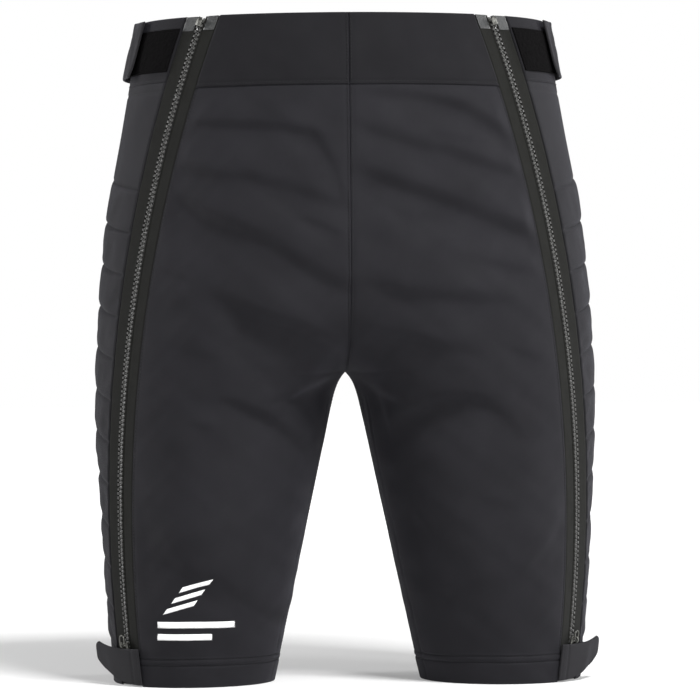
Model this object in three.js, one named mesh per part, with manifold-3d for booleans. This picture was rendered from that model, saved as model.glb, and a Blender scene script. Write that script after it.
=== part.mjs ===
// Padded impact shorts: two front panels, two quilted side panels with foam bars,
// two back panels, a split waistband, and a two-way zip down each side-front.
// Millimetres, +Z up. The front faces -Y and the wearer's left leg is on +X.
// The shorts stand on their two hems at z = 0.

import * as THREE from "three";
import { mergeVertices } from "three/addons/utils/BufferGeometryUtils.js";
import Module from "manifold-3d";

// ---- Driving dimensions ------------------------------------------------------------

const HEIGHT = 525;                 // hem to waist edge
const FRONT_SEAM = 470;             // foot of the waistband at the front
const REAR_SEAM = 475;              // foot of the waistband at the sides and back
const CROTCH = 247;                 // height of the crotch point
const CROTCH_RISE = 140;            // height over which the two legs become one trunk
const INSEAM_SLOPE = 0.215;         // how fast the inner legs part below the crotch
const INSEAM_ROUND = 6.5;           // rounding of the arch between the legs
const INSEAM_ROUND_HEIGHT = 7;
const BOX_SHIFT_Y = -10.4;          // puts the middle of the depth at y = 0

// Half-width at the side and depth at the back, as [height, size].
const SIDE_HALF_WIDTH = [[0, 186], [120, 193], [235, 197.5], [370, 188], [440, 176], [525, 161]];
const BACK_DEPTH = [[0, 76], [140, 101], [250, 124], [350, 146], [440, 131], [525, 112]];
const BACK_SEAM_ANGLE = 128;        // where the side panel meets the back panel, degrees

const SEAM_GAP = 0.3;               // air between two pieces that meet
const PANEL_OUT = 0.8;              // cloth faces, measured out from the middle of the tape
const PANEL_IN = -1.2;
const BAND_OUT = 1.2;
const BAND_IN = -1.8;
const SHELL_OUT = 1.2;
const SHELL_IN = -0.8;

// Zip: the chain is an arc of a circle in a plane that leans back towards the hem.
const ZIP_RADIUS = 1130;
const ZIP_WIDEST_X = 179.5;
const ZIP_WIDEST_Z = 140;
const ZIP_Y_HEM = -45;
const ZIP_Y_WAIST = -81;
const ZIP_TURN_HEM = 58;            // how far the tape faces round from the front, degrees
const ZIP_TURN_WAIST = 39;
const TAPE_HALF_WIDTH = 15;
const TAPE_HALF_THICKNESS = 0.5;
const TEETH_INNER = 1.0;            // half of the slot between the two rows
const TEETH_OUTER = 2.9;
const TEETH_HALF_HEIGHT = 1.4;
const TEETH_FOOT = 16;
const TEETH_TOP = 523;

// Foam bars of the quilted side panels.
const BAR_COUNT = 11;
const BARS_FOOT = 39;               // at the widest line of the side
const BARS_TOP = 401;
const BAR_GAP = 4;
const BAR_SLANT = 26;               // the channels fall this much from the back seam to the zip
const BAR_SIDE_LINE = 0.44;         // where the widest line lies across the side panel
const BAR_EDGE = 0.05;              // margin at the front and back edges of the side panel
const FOAM_OUT = -1.6;
const FOAM_EDGE_DEPTH = 3.5;
const FOAM_CROWN = 7;
const FOAM_CROWN_POWER = 0.7;       // below 1: the foam is nearly full thickness close to its edges
const FOAM_END_SHARE = 0.75;        // thickness of a bar at its foot and top, as a share of its middle
const LINING_THICKNESS = 1;
const LINING_EDGE = 0.03;
const LINING_BORDER = 6;

// Sliders.
const SLIDER_LENGTH = 14;
const SLIDER_WIDTH = 9;
const SLIDER_NOSE = 6.4;
const SLIDER_HALF_GAP = 2.6;
const SLIDER_PLATE = 1.3;
const SLIDER_CORNER = 1.2;
const BRIDGE_WIDTH = 0.9;
const BRIDGE_LENGTH = 3.5;
const BRIDGE_MARGIN = 0.5;          // from the wide end of the plates
const WELD = 0.5;                   // how far two joined blocks of a slider run into each other
const BAIL = { width: 2.4, length: 4.4, height: 3.4, bore: 1.2, boreHeight: 1.9, offset: 4.5 };
const TOP_SLIDER_Z = 516;
const BOTTOM_SLIDER_Z = 29;
const RING_PULL = { width: 8, length: 8, bar: 1.2, thickness: 1.2, grip: 0 };
const TAB_PULL = { width: 7, length: 24, bar: 1.2, thickness: 1.2, grip: 14 };

// Hem tabs: sewn beside the zip, reaching round over its lower end.
const HEM_TAB_LENGTH = 56;
const HEM_TAB_HINGE = 17.5;         // from the chain towards the front
const HEM_TAB_STAND_OFF = 2.6;
const HEM_TAB_THICKNESS = 2.2;
const HEM_TAB_TOP = 30.5;
const HEM_TAB_FOOT = 1.5;
const HEM_TAB_TIP_TOP = 35;
const HEM_TAB_TIP_FOOT = 19;
const HEM_TAB_SWEEP = { foot: 1.5, top: 3 };   // powers of the curves to the tip
const HEM_TAB_FLARE = 15;           // degrees away from the tape
const HEM_TAB_CURL = 22;            // degrees of bend back along the leg
// The hook patch as shares of the tab's length and height.
const HEM_HOOK = { start: 0.5, end: 0.92, foot: 0.15, top: 0.85 };
// The loop patch: start and end across the side panel, foot and top as heights.
const HEM_LOOP = { start: 0.04, end: 0.34, foot: 7, top: 28 };

// Waist tabs: sewn at the rear of each hip, free end towards the zip.
// start and end are places across the side of the waistband, from the zip to the back.
const WAIST_TAB = { start: 0.27, end: 0.99, foot: 479, top: 524.5 };
const WAIST_TAB_STAND_OFF = 3.8;
const WAIST_TAB_FLARE = 5.5;        // further out at the lower corner of the free end
const WAIST_TAB_THICKNESS = 2;
const WAIST_LOOP = { start: 0.04, end: 0.8, foot: 482, top: 516 };
const PATCH_GAP = 0.6;
const PATCH_THICKNESS = 1.1;

// ---- Colours and finishes ----------------------------------------------------------

const FINISH = {
  cloth: { color: 0x2c2c30, roughness: 0.85, metalness: 0 },
  tape: { color: 0x232420, roughness: 0.9, metalness: 0 },
  tooth: { color: 0x4a4a48, roughness: 0.45, metalness: 0 },
  metal: { color: 0x6e6e68, roughness: 0.35, metalness: 1 },
  loop: { color: 0x141416, roughness: 1, metalness: 0 },
  foam: { color: 0x8a8d92, roughness: 0.95, metalness: 0 },
  lining: { color: 0x202024, roughness: 0.9, metalness: 0 },
};

const shorts = new THREE.Group();
shorts.position.y = BOX_SHIFT_Y;

const wasm = await Module();
wasm.setup();

const radians = THREE.MathUtils.degToRad;
const lerp = THREE.MathUtils.lerp;

// ---- The body surface --------------------------------------------------------------

// A smooth curve through [height, size] knots.
function alongKnots(knots, z) {
  const last = knots.length - 1;
  let k = 0;
  while (k < last - 1 && z > knots[k + 1][0]) k += 1;
  const slopeAt = (i) => {
    const a = knots[Math.max(i - 1, 0)];
    const b = knots[Math.min(i + 1, last)];
    return (b[1] - a[1]) / (b[0] - a[0]);
  };
  const [z0, s0] = knots[k];
  const [z1, s1] = knots[k + 1];
  const step = z1 - z0;
  const f = (z - z0) / step;
  const f2 = f * f;
  const f3 = f2 * f;
  return (2 * f3 - 3 * f2 + 1) * s0 + (f3 - 2 * f2 + f) * step * slopeAt(k)
    + (3 * f2 - 2 * f3) * s1 + (f3 - f2) * step * slopeAt(k + 1);
}

// The zip's plane: along x and a leaning upright. zipFront is its normal, towards the front.
const zipUp = new THREE.Vector3(0, (ZIP_Y_WAIST - ZIP_Y_HEM) / HEIGHT, 1).normalize();
const zipFront = new THREE.Vector3(1, 0, 0).cross(zipUp);
const zipCentre = new THREE.Vector3(
  ZIP_WIDEST_X - ZIP_RADIUS,
  lerp(ZIP_Y_HEM, ZIP_Y_WAIST, ZIP_WIDEST_Z / HEIGHT),
  ZIP_WIDEST_Z,
);

const zipTurn = (z) => radians(lerp(ZIP_TURN_HEM, ZIP_TURN_WAIST, z / HEIGHT));

// A point of the zip at one height: across is measured from the chain towards the side,
// out is measured away from the body.
function onZip(z, across, out) {
  const turn = zipTurn(z);
  const radius = ZIP_RADIUS + across * Math.cos(turn);
  const sine = (z - ZIP_WIDEST_Z + across * Math.sin(turn) * zipFront.z) / (radius * zipUp.z);
  const radial = new THREE.Vector3(Math.sqrt(1 - sine * sine), 0, 0).addScaledVector(zipUp, sine);
  const normal = zipFront.clone().multiplyScalar(Math.cos(turn)).addScaledVector(radial, Math.sin(turn));
  return zipCentre.clone()
    .addScaledVector(zipFront, -across * Math.sin(turn))
    .addScaledVector(radial, radius)
    .addScaledVector(normal, out);
}

// The place and directions of a rigid piece on the chain: x across, y along, z out.
function zipFrame(z) {
  const turn = zipTurn(z);
  const sine = (z - ZIP_WIDEST_Z) / (ZIP_RADIUS * zipUp.z);
  const radial = new THREE.Vector3(Math.sqrt(1 - sine * sine), 0, 0).addScaledVector(zipUp, sine);
  const out = zipFront.clone().multiplyScalar(Math.cos(turn)).addScaledVector(radial, Math.sin(turn));
  const across = radial.clone().multiplyScalar(Math.cos(turn)).addScaledVector(zipFront, -Math.sin(turn));
  const along = out.clone().cross(across);
  return new THREE.Matrix4().makeBasis(across, along, out).setPosition(onZip(z, 0, 0));
}

// The half section at one height is an ellipse: below the crotch a whole leg, above it
// one half of the trunk, whose middle slides to x = 0 as the legs merge.
function section(z) {
  const side = alongKnots(SIDE_HALF_WIDTH, z);
  const below = CROTCH - z;
  let middle;
  if (below > 0) {
    const round = INSEAM_ROUND * (1 - Math.exp(-below / INSEAM_ROUND_HEIGHT));
    middle = (side + INSEAM_SLOPE * below + round) / 2;
  } else {
    middle = (side / 2) * Math.max(1 + below / CROTCH_RISE, 0) ** 2;
  }
  const half = side - middle;
  const chain = onZip(z, 0, 0);
  const front = -chain.y / Math.sqrt(1 - ((chain.x - middle) / half) ** 2);
  const back = alongKnots(BACK_DEPTH, z);
  const inner = Math.min(middle / half, 1);
  const ellipse = (angle) => new THREE.Vector3(
    middle + half * Math.sin(angle),
    -(angle < Math.PI / 2 ? front : back) * Math.cos(angle),
    z,
  );
  const tapeEdge = (across) => {
    const edge = onZip(z, across, 0);
    const angle = Math.asin((edge.x - middle) / half);
    return { angle, lift: edge.y - ellipse(angle).y };
  };
  const reach = TAPE_HALF_WIDTH + SEAM_GAP;
  return {
    ellipse,
    innerFront: -Math.asin(inner) + SEAM_GAP / front,
    innerBack: Math.PI + Math.asin(inner) - SEAM_GAP / back,
    tapeFront: tapeEdge(-reach),
    tapeBack: tapeEdge(reach),
  };
}

// Points of the three kinds of panel. across runs from 0 to 1, front to back.
const MIDDLE_GAP = 0.2;             // from x = 0 to the panels and bands that meet there
const BACK_SEAM_GAP = 0.003;        // radians, SEAM_GAP at the narrowest part of the leg

function frontPoint(across, z) {
  const { ellipse, innerFront, tapeFront } = section(z);
  const point = ellipse(lerp(innerFront, tapeFront.angle, across));
  point.y += tapeFront.lift * across ** 2;
  point.x += MIDDLE_GAP * (1 - across);
  return point;
}

function sidePoint(across, z) {
  const { ellipse, tapeBack } = section(z);
  const point = ellipse(lerp(tapeBack.angle, radians(BACK_SEAM_ANGLE), across));
  point.y += tapeBack.lift * (1 - across) ** 2;
  return point;
}

function backPoint(across, z) {
  const { ellipse, innerBack } = section(z);
  const point = ellipse(lerp(radians(BACK_SEAM_ANGLE) + BACK_SEAM_GAP, innerBack, across));
  point.x += MIDDLE_GAP * across;
  return point;
}

// ---- Solids ------------------------------------------------------------------------

// Triangles of a closed skin from two matching grids of points, outer and inner.
function closedGrid(outer, inner, columns, rows) {
  const points = [...outer, ...inner];
  const count = outer.length;
  const at = (i, j) => j * (columns + 1) + i;
  const faces = [];
  const quad = (a, b, c, d) => faces.push(a, b, c, a, c, d);
  for (let j = 0; j < rows; j += 1) {
    for (let i = 0; i < columns; i += 1) {
      quad(at(i, j), at(i + 1, j), at(i + 1, j + 1), at(i, j + 1));
      quad(count + at(i, j + 1), count + at(i + 1, j + 1), count + at(i + 1, j), count + at(i, j));
    }
  }
  for (let i = 0; i < columns; i += 1) {
    quad(at(i + 1, 0), at(i, 0), count + at(i, 0), count + at(i + 1, 0));
    quad(at(i, rows), at(i + 1, rows), count + at(i + 1, rows), count + at(i, rows));
  }
  for (let j = 0; j < rows; j += 1) {
    quad(at(0, j), at(0, j + 1), count + at(0, j + 1), count + at(0, j));
    quad(at(columns, j + 1), at(columns, j), count + at(columns, j), count + at(columns, j + 1));
  }
  const geometry = new THREE.BufferGeometry();
  const positions = points.flatMap((p) => [p.x, p.y, p.z]);
  geometry.setAttribute("position", new THREE.Float32BufferAttribute(positions, 3));
  geometry.setIndex(faces);
  return geometry;
}

// The outward direction of a surface given by point(u, v). Its upright part fades out
// at the hem and the waist edge, so both edges stay level.
function outward(point, u, v) {
  const step = 0.002;
  const edgeFade = 25;
  const alongU = point(Math.min(u + step, 1), v).sub(point(Math.max(u - step, 0), v));
  const alongV = point(u, Math.min(v + step, 1)).sub(point(u, Math.max(v - step, 0)));
  const normal = alongU.cross(alongV).normalize();
  const z = point(u, v).z;
  normal.z *= THREE.MathUtils.clamp(Math.min(z, HEIGHT - z) / edgeFade, 0, 1);
  return normal.normalize();
}

// A layer of cloth or foam on the surface point(u, v), between two heights above it.
function layer(point, columns, rows, outerOffset, innerOffset) {
  const outer = [];
  const inner = [];
  for (let j = 0; j <= rows; j += 1) {
    for (let i = 0; i <= columns; i += 1) {
      const u = i / columns;
      const v = j / rows;
      const normal = outward(point, u, v);
      outer.push(point(u, v).addScaledVector(normal, outerOffset(u, v)));
      inner.push(point(u, v).addScaledVector(normal, innerOffset(u, v)));
    }
  }
  // Cloth thickness never carries a point over the middle of the body.
  for (const corner of [...outer, ...inner]) corner.x = Math.max(corner.x, MIDDLE_GAP);
  return closedGrid(outer, inner, columns, rows);
}

const flat = (value) => () => value;

// A strip of the zip between two distances from the chain.
function zipStrip(foot, top, near, far, halfThickness, rows) {
  const outer = [];
  const inner = [];
  for (let j = 0; j <= rows; j += 1) {
    const z = lerp(foot, top, j / rows);
    for (const across of [near, far]) {
      outer.push(onZip(z, across, halfThickness));
      inner.push(onZip(z, across, -halfThickness));
    }
  }
  return closedGrid(outer, inner, 1, rows);
}

function asSolid(geometry) {
  const bare = geometry.clone();
  bare.deleteAttribute("normal");
  bare.deleteAttribute("uv");
  const merged = mergeVertices(bare, 1e-4);
  return new wasm.Manifold(new wasm.Mesh({
    numProp: 3,
    vertProperties: new Float32Array(merged.attributes.position.array),
    triVerts: new Uint32Array(merged.index.array),
  }));
}

function asGeometry(solid) {
  const mesh = solid.getMesh();
  const geometry = new THREE.BufferGeometry();
  geometry.setAttribute("position", new THREE.BufferAttribute(new Float32Array(mesh.vertProperties), 3));
  geometry.setIndex(new THREE.BufferAttribute(new Uint32Array(mesh.triVerts), 1));
  return geometry;
}

// The same piece for the other side of the body, turned the right way out.
function mirrored(geometry) {
  const copy = geometry.clone().scale(-1, 1, 1);
  const order = copy.index.array;
  for (let k = 0; k < order.length; k += 3) {
    [order[k], order[k + 1]] = [order[k + 1], order[k]];
  }
  return copy;
}

function place(name, geometry, finish) {
  geometry.computeVertexNormals();
  const mesh = new THREE.Mesh(geometry, new THREE.MeshStandardMaterial(finish));
  mesh.name = name;
  shorts.add(mesh);
}

// Places a piece modelled on +X as NAME_left, and its mirror image as NAME_right.
function placePair(name, geometry, finish) {
  place(`${name}_left`, geometry, finish);
  place(`${name}_right`, mirrored(geometry), finish);
}

// ---- Panels ------------------------------------------------------------------------

// Heights of a panel's rows: even at the tape, and gathered towards the crotch at the
// middle, where the edge of the panel turns under the body.
const PANEL_ROWS = 19;
const CROTCH_ROW = 10;

function panelHeight(rise, towardsMiddle, top) {
  const even = rise * top;
  const turn = CROTCH_ROW / PANEL_ROWS;
  const middle = rise < turn
    ? CROTCH * (rise / turn)
    : CROTCH + (top - CROTCH) * ((rise - turn) / (1 - turn)) ** 2;
  return lerp(even, middle, towardsMiddle ** 2);
}

function makePanels() {
  const frontTop = FRONT_SEAM - SEAM_GAP;
  const rearTop = REAR_SEAM - SEAM_GAP;
  const front = (u, v) => frontPoint(u, panelHeight(v, 1 - u, frontTop));
  const back = (u, v) => backPoint(u, panelHeight(v, u, rearTop));
  const side = (u, v) => sidePoint(u, v * rearTop);
  placePair("front_panel", layer(front, 8, PANEL_ROWS, flat(PANEL_OUT), flat(PANEL_IN)), FINISH.cloth);
  placePair("back_panel", layer(back, 9, PANEL_ROWS, flat(PANEL_OUT), flat(PANEL_IN)), FINISH.cloth);
  placePair("side_shell", layer(side, 10, PANEL_ROWS, flat(SHELL_OUT), flat(SHELL_IN)), FINISH.cloth);
}

function makeWaistband() {
  const front = (u, v) => frontPoint(u, lerp(FRONT_SEAM, HEIGHT, v));
  const rearArc = (u, z) => (u < 0.5 ? sidePoint(u * 2, z) : backPoint(u * 2 - 1, z));
  const rear = (u, v) => rearArc(u, lerp(REAR_SEAM, HEIGHT, v));
  placePair("waistband_front", layer(front, 8, 3, flat(BAND_OUT), flat(BAND_IN)), FINISH.cloth);
  placePair("waistband_rear", layer(rear, 24, 3, flat(BAND_OUT), flat(BAND_IN)), FINISH.cloth);
}

// ---- Padding -----------------------------------------------------------------------

const padHeight = (z, across) => z + BAR_SLANT * (across - BAR_SIDE_LINE);
const padDepth = (across) => FOAM_EDGE_DEPTH + FOAM_CROWN * Math.sin(Math.PI * across) ** FOAM_CROWN_POWER;

function makeFoamBars() {
  const pitch = (BARS_TOP - BARS_FOOT) / BAR_COUNT;
  const barAcross = (u) => lerp(BAR_EDGE, 1 - BAR_EDGE, u);
  const barShare = (v) => lerp(FOAM_END_SHARE, 1, Math.sin(Math.PI * v));
  for (let bar = 0; bar < BAR_COUNT; bar += 1) {
    const foot = BARS_FOOT + bar * pitch + BAR_GAP / 2;
    const top = BARS_FOOT + (bar + 1) * pitch - BAR_GAP / 2;
    const point = (u, v) => sidePoint(barAcross(u), padHeight(lerp(foot, top, v), barAcross(u)));
    const crown = (u, v) => FOAM_OUT - padDepth(barAcross(u)) * barShare(v);
    const number = String(bar + 1).padStart(2, "0");
    placePair(`foam_bar_${number}`, layer(point, 8, 2, flat(FOAM_OUT), crown), FINISH.foam);
  }
}

function makeLinings() {
  const across = (u) => lerp(LINING_EDGE, 1 - LINING_EDGE, u);
  const height = (v) => lerp(BARS_FOOT - LINING_BORDER, BARS_TOP + LINING_BORDER, v);
  const lining = (u, v) => sidePoint(across(u), padHeight(height(v), across(u)));
  const outerFace = (u) => FOAM_OUT - padDepth(across(u)) - SEAM_GAP;
  const innerFace = (u) => outerFace(u) - LINING_THICKNESS;
  placePair("pad_lining", layer(lining, 8, 14, outerFace, innerFace), FINISH.lining);
}

// ---- Zips --------------------------------------------------------------------------

function makeZips() {
  const tapeNear = TEETH_OUTER + SEAM_GAP;
  const tapeFoot = 1;
  const tapeTop = HEIGHT - 1;
  const rows = 16;
  const tape = (near, far) => zipStrip(tapeFoot, tapeTop, near, far, TAPE_HALF_THICKNESS, rows);
  const teeth = (near, far) => zipStrip(TEETH_FOOT, TEETH_TOP, near, far, TEETH_HALF_HEIGHT, rows);
  placePair("zip_tape_front", tape(-TAPE_HALF_WIDTH, -tapeNear), FINISH.tape);
  placePair("zip_tape_side", tape(tapeNear, TAPE_HALF_WIDTH), FINISH.tape);
  placePair("zip_teeth_front", teeth(-TEETH_OUTER, -TEETH_INNER), FINISH.tooth);
  placePair("zip_teeth_side", teeth(TEETH_INNER, TEETH_OUTER), FINISH.tooth);
}

// A slider lies with x across the chain, y along it and z out of the garment. The rows of
// teeth part at its wide end, -y, round the bridge. The bail holds the pull at the other end.
function sliderOutline() {
  const outline = new THREE.Shape();
  const wide = SLIDER_WIDTH / 2;
  const nose = SLIDER_NOSE / 2;
  const end = SLIDER_LENGTH / 2;
  const corner = SLIDER_CORNER;
  outline.moveTo(-wide + corner, -end);
  outline.lineTo(wide - corner, -end);
  outline.lineTo(wide, -end + corner);
  outline.lineTo(wide, -corner);
  outline.lineTo(nose, end - corner);
  outline.lineTo(nose - corner, end);
  outline.lineTo(-nose + corner, end);
  outline.lineTo(-nose, end - corner);
  outline.lineTo(-wide, -corner);
  outline.lineTo(-wide, -end + corner);
  return outline;
}

function sliderGeometry() {
  const plate = new THREE.ExtrudeGeometry(sliderOutline(), { depth: SLIDER_PLATE, bevelEnabled: false });
  const upper = plate.clone().translate(0, 0, SLIDER_HALF_GAP);
  const lower = plate.clone().translate(0, 0, -SLIDER_HALF_GAP - SLIDER_PLATE);
  const bridgeHeight = 2 * (SLIDER_HALF_GAP + WELD);
  const bridgeY = BRIDGE_MARGIN + (BRIDGE_LENGTH - SLIDER_LENGTH) / 2;
  const bridge = new THREE.BoxGeometry(BRIDGE_WIDTH, BRIDGE_LENGTH, bridgeHeight).translate(0, bridgeY, 0);
  const plateTop = SLIDER_HALF_GAP + SLIDER_PLATE;
  const bail = new THREE.BoxGeometry(BAIL.width, BAIL.length, BAIL.height + WELD)
    .translate(0, BAIL.offset, plateTop + (BAIL.height - WELD) / 2);
  const bore = new THREE.CylinderGeometry(BAIL.bore, BAIL.bore, 2 * BAIL.width, 16)
    .rotateZ(Math.PI / 2)
    .translate(0, BAIL.offset, plateTop + BAIL.boreHeight);
  const body = asSolid(upper).add(asSolid(lower)).add(asSolid(bridge)).add(asSolid(bail));
  return asGeometry(body.subtract(asSolid(bore)));
}

// A pull is a flat plate with one opening: a bar through the bail, and a grip beyond it.
// It points along +y from the middle of its bar, and its thickness lies along z.
function pullGeometry({ width, length, bar, thickness, grip }) {
  const half = width / 2;
  const outline = new THREE.Shape();
  outline.moveTo(-half, -bar / 2);
  outline.lineTo(half, -bar / 2);
  outline.lineTo(half, length - half - bar / 2);
  outline.absarc(0, length - half - bar / 2, half, 0, Math.PI, false);
  outline.lineTo(-half, -bar / 2);
  const eye = new THREE.Path();
  const inner = half - bar;
  const eyeTop = length - half - bar / 2 - grip;
  eye.moveTo(-inner, bar / 2);
  eye.lineTo(-inner, eyeTop);
  eye.absarc(0, eyeTop, inner, Math.PI, 0, true);
  eye.lineTo(inner, bar / 2);
  eye.lineTo(-inner, bar / 2);
  outline.holes.push(eye);
  return new THREE.ExtrudeGeometry(outline, { depth: thickness, bevelEnabled: false, curveSegments: 8 })
    .translate(0, 0, -thickness / 2);
}

function makeSliders() {
  const slider = sliderGeometry();
  const bailAxis = SLIDER_HALF_GAP + SLIDER_PLATE + BAIL.boreHeight;
  const ring = asGeometry(asSolid(pullGeometry(RING_PULL))).translate(0, BAIL.offset, bailAxis);
  const tab = asGeometry(asSolid(pullGeometry(TAB_PULL))).translate(0, BAIL.offset, bailAxis);
  // The top slider is turned half round its own x axis: its bail is on the inside of the
  // garment, towards the hem, and its pull hangs down there.
  const turnedIn = new THREE.Matrix4().makeRotationX(Math.PI);
  const bottomFrame = zipFrame(BOTTOM_SLIDER_Z);
  const topFrame = zipFrame(TOP_SLIDER_Z).multiply(turnedIn);
  placePair("top_slider", slider.clone().applyMatrix4(topFrame), FINISH.metal);
  placePair("top_slider_pull", tab.clone().applyMatrix4(topFrame), FINISH.metal);
  placePair("bottom_slider", slider.clone().applyMatrix4(bottomFrame), FINISH.metal);
  placePair("bottom_slider_pull", ring.clone().applyMatrix4(bottomFrame), FINISH.metal);
}

// ---- Tabs and hook-and-loop patches ------------------------------------------------

// The hem tab is a curved strip in the zip's own frame: length along u, height along v,
// sewn edge at u = 0.
function hemTabPoint() {
  const middle = (HEM_TAB_FOOT + HEM_TAB_TOP) / 2;
  const frame = zipFrame(middle);
  return (u, v) => {
    const run = HEM_TAB_LENGTH * u;
    const rise = radians(HEM_TAB_FLARE - (HEM_TAB_CURL * u) / 2);
    const foot = lerp(HEM_TAB_FOOT, HEM_TAB_TIP_FOOT, u ** HEM_TAB_SWEEP.foot);
    const top = lerp(HEM_TAB_TOP, HEM_TAB_TIP_TOP, u ** HEM_TAB_SWEEP.top);
    return new THREE.Vector3(
      run * Math.cos(rise) - HEM_TAB_HINGE,
      lerp(foot, top, v) - middle,
      HEM_TAB_STAND_OFF + run * Math.sin(rise),
    ).applyMatrix4(frame);
  };
}

function makeHemTabs() {
  const half = HEM_TAB_THICKNESS / 2;
  const tab = hemTabPoint();
  placePair("hem_tab", layer(tab, 8, 2, flat(half), flat(-half)), FINISH.cloth);
  const hook = (u, v) => tab(lerp(HEM_HOOK.start, HEM_HOOK.end, u), lerp(HEM_HOOK.foot, HEM_HOOK.top, v));
  const face = -half - PATCH_GAP;
  placePair("hem_hook", layer(hook, 4, 1, flat(face), flat(face - PATCH_THICKNESS)), FINISH.loop);
  const loop = (u, v) => sidePoint(
    lerp(HEM_LOOP.start, HEM_LOOP.end, u),
    lerp(HEM_LOOP.foot, HEM_LOOP.top, v),
  );
  const shellFace = SHELL_OUT + PATCH_GAP;
  placePair("hem_loop", layer(loop, 4, 1, flat(shellFace + PATCH_THICKNESS), flat(shellFace)), FINISH.loop);
}

function makeWaistTabs() {
  const patch = (u, v) => sidePoint(
    lerp(WAIST_LOOP.start, WAIST_LOOP.end, u),
    lerp(WAIST_LOOP.foot, WAIST_LOOP.top, v),
  );
  const bandFace = BAND_OUT + PATCH_GAP;
  placePair("waist_loop", layer(patch, 12, 2, flat(bandFace + PATCH_THICKNESS), flat(bandFace)), FINISH.loop);
  const tab = (u, v) => sidePoint(
    lerp(WAIST_TAB.start, WAIST_TAB.end, u),
    lerp(WAIST_TAB.foot, WAIST_TAB.top, v),
  );
  const innerFace = (u, v) => WAIST_TAB_STAND_OFF + WAIST_TAB_FLARE * (1 - u) * (1 - v);
  const outerFace = (u, v) => innerFace(u, v) + WAIST_TAB_THICKNESS;
  placePair("waist_tab", layer(tab, 10, 2, outerFace, innerFace), FINISH.cloth);
}

makePanels();
makeWaistband();
makeFoamBars();
makeLinings();
makeZips();
makeSliders();
makeHemTabs();
makeWaistTabs();

export default shorts;
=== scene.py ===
"""Looks of the padded impact shorts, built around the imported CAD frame.

Shapes are worked out in millimetres on the same surface as the CAD model and turned into
metres when a mesh is made. +X is the wearer's left, the front faces -Y, +Z is up.
"""

import math

import bpy
import numpy as np
from mathutils import Matrix, Vector


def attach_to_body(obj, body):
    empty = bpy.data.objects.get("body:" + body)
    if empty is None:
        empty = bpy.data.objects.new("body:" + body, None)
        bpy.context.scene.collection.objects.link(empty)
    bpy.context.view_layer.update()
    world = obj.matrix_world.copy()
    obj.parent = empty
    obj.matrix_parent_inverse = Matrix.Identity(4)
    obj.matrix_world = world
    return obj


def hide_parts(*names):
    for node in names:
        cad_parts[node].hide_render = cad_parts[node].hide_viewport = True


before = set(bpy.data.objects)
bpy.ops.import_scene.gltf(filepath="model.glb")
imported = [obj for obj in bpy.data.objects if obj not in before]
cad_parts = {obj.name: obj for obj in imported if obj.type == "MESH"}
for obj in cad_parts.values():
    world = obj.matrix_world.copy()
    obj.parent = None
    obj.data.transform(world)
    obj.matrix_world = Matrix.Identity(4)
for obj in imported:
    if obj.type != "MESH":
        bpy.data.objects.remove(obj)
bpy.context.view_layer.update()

MM = 0.001
SIDES = {"left": 1, "right": -1}

# ---- Driving dimensions, the same as the CAD model's (mm, degrees) ----

HEIGHT = 525
FRONT_SEAM = 470
REAR_SEAM = 475
CROTCH = 247
CROTCH_RISE = 140
INSEAM_SLOPE = 0.215
INSEAM_ROUND = 6.5
INSEAM_ROUND_HEIGHT = 7
BOX_SHIFT_Y = -10.4
SIDE_HALF_WIDTH = [[0, 186], [120, 193], [235, 197.5], [370, 188], [440, 176], [525, 161]]
BACK_DEPTH = [[0, 76], [140, 101], [250, 124], [350, 146], [440, 131], [525, 112]]
BACK_SEAM_ANGLE = 128
ZIP_RADIUS = 1130
ZIP_WIDEST_X = 179.5
ZIP_WIDEST_Z = 140
ZIP_Y_HEM = -45
ZIP_Y_WAIST = -81
ZIP_TURN_HEM = 58
ZIP_TURN_WAIST = 39
TAPE_HALF_WIDTH = 15.3
TEETH_FOOT = 16
TEETH_TOP = 523
BAR_COUNT = 11
BARS_FOOT = 39
BARS_TOP = 401
BAR_SLANT = 26
BAR_SIDE_LINE = 0.44
TOP_SLIDER_Z = 516
BOTTOM_SLIDER_Z = 29
HEM_TAB_LENGTH = 56
HEM_TAB_HINGE = 17.5
HEM_TAB_STAND_OFF = 2.6
HEM_TAB_TOP = 30.5
HEM_TAB_FOOT = 1.5
HEM_TAB_TIP_TOP = 35
HEM_TAB_TIP_FOOT = 19
HEM_TAB_SWEEP = {"foot": 2.0, "top": 3}
HEM_TAB_FLARE = 15
HEM_TAB_CURL = 22
BAIL_AXIS = 5.8
BAIL_OFFSET = 4.5

# ---- Sizes that only the looks need (mm) ----

CROTCH_BLEND = 34
PANEL_OUT, PANEL_IN = 0.8, -1.2
BAND_OUT, BAND_IN = 1.5, -1.8
SHELL_OUT, SHELL_IN = 1.2, -0.8
TOOTH_PITCH = 3.5
STITCH_PITCH = 2.7
CHANNEL_PITCH = (BARS_TOP - BARS_FOOT) / BAR_COUNT
CHANNEL_LINES = [BARS_FOOT + k * CHANNEL_PITCH for k in range(BAR_COUNT + 1)]


# ---- Camera, as the photograph's: level, long lens, a little from the wearer's right ----

CAMERA_DISTANCE = 3.1
CAMERA_LENS = 198
CAMERA_YAW = math.radians(2.5)
CAMERA_ROLL = math.radians(-0.45)
CAMERA_AIM = Vector((0.0045, 0.0, 0.2635))


def make_camera():
    data = bpy.data.cameras.new("camera")
    data.lens = CAMERA_LENS
    data.clip_end = 50
    camera = bpy.data.objects.new("camera", data)
    bpy.context.collection.objects.link(camera)
    place = Vector((-math.sin(CAMERA_YAW), -math.cos(CAMERA_YAW), 0)) * CAMERA_DISTANCE
    camera.location = CAMERA_AIM + place
    aim = (CAMERA_AIM - camera.location).to_track_quat("-Z", "Y").to_matrix()
    camera.rotation_euler = (aim @ Matrix.Rotation(CAMERA_ROLL, 3, "Z")).to_euler()
    bpy.context.scene.camera = camera


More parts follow.
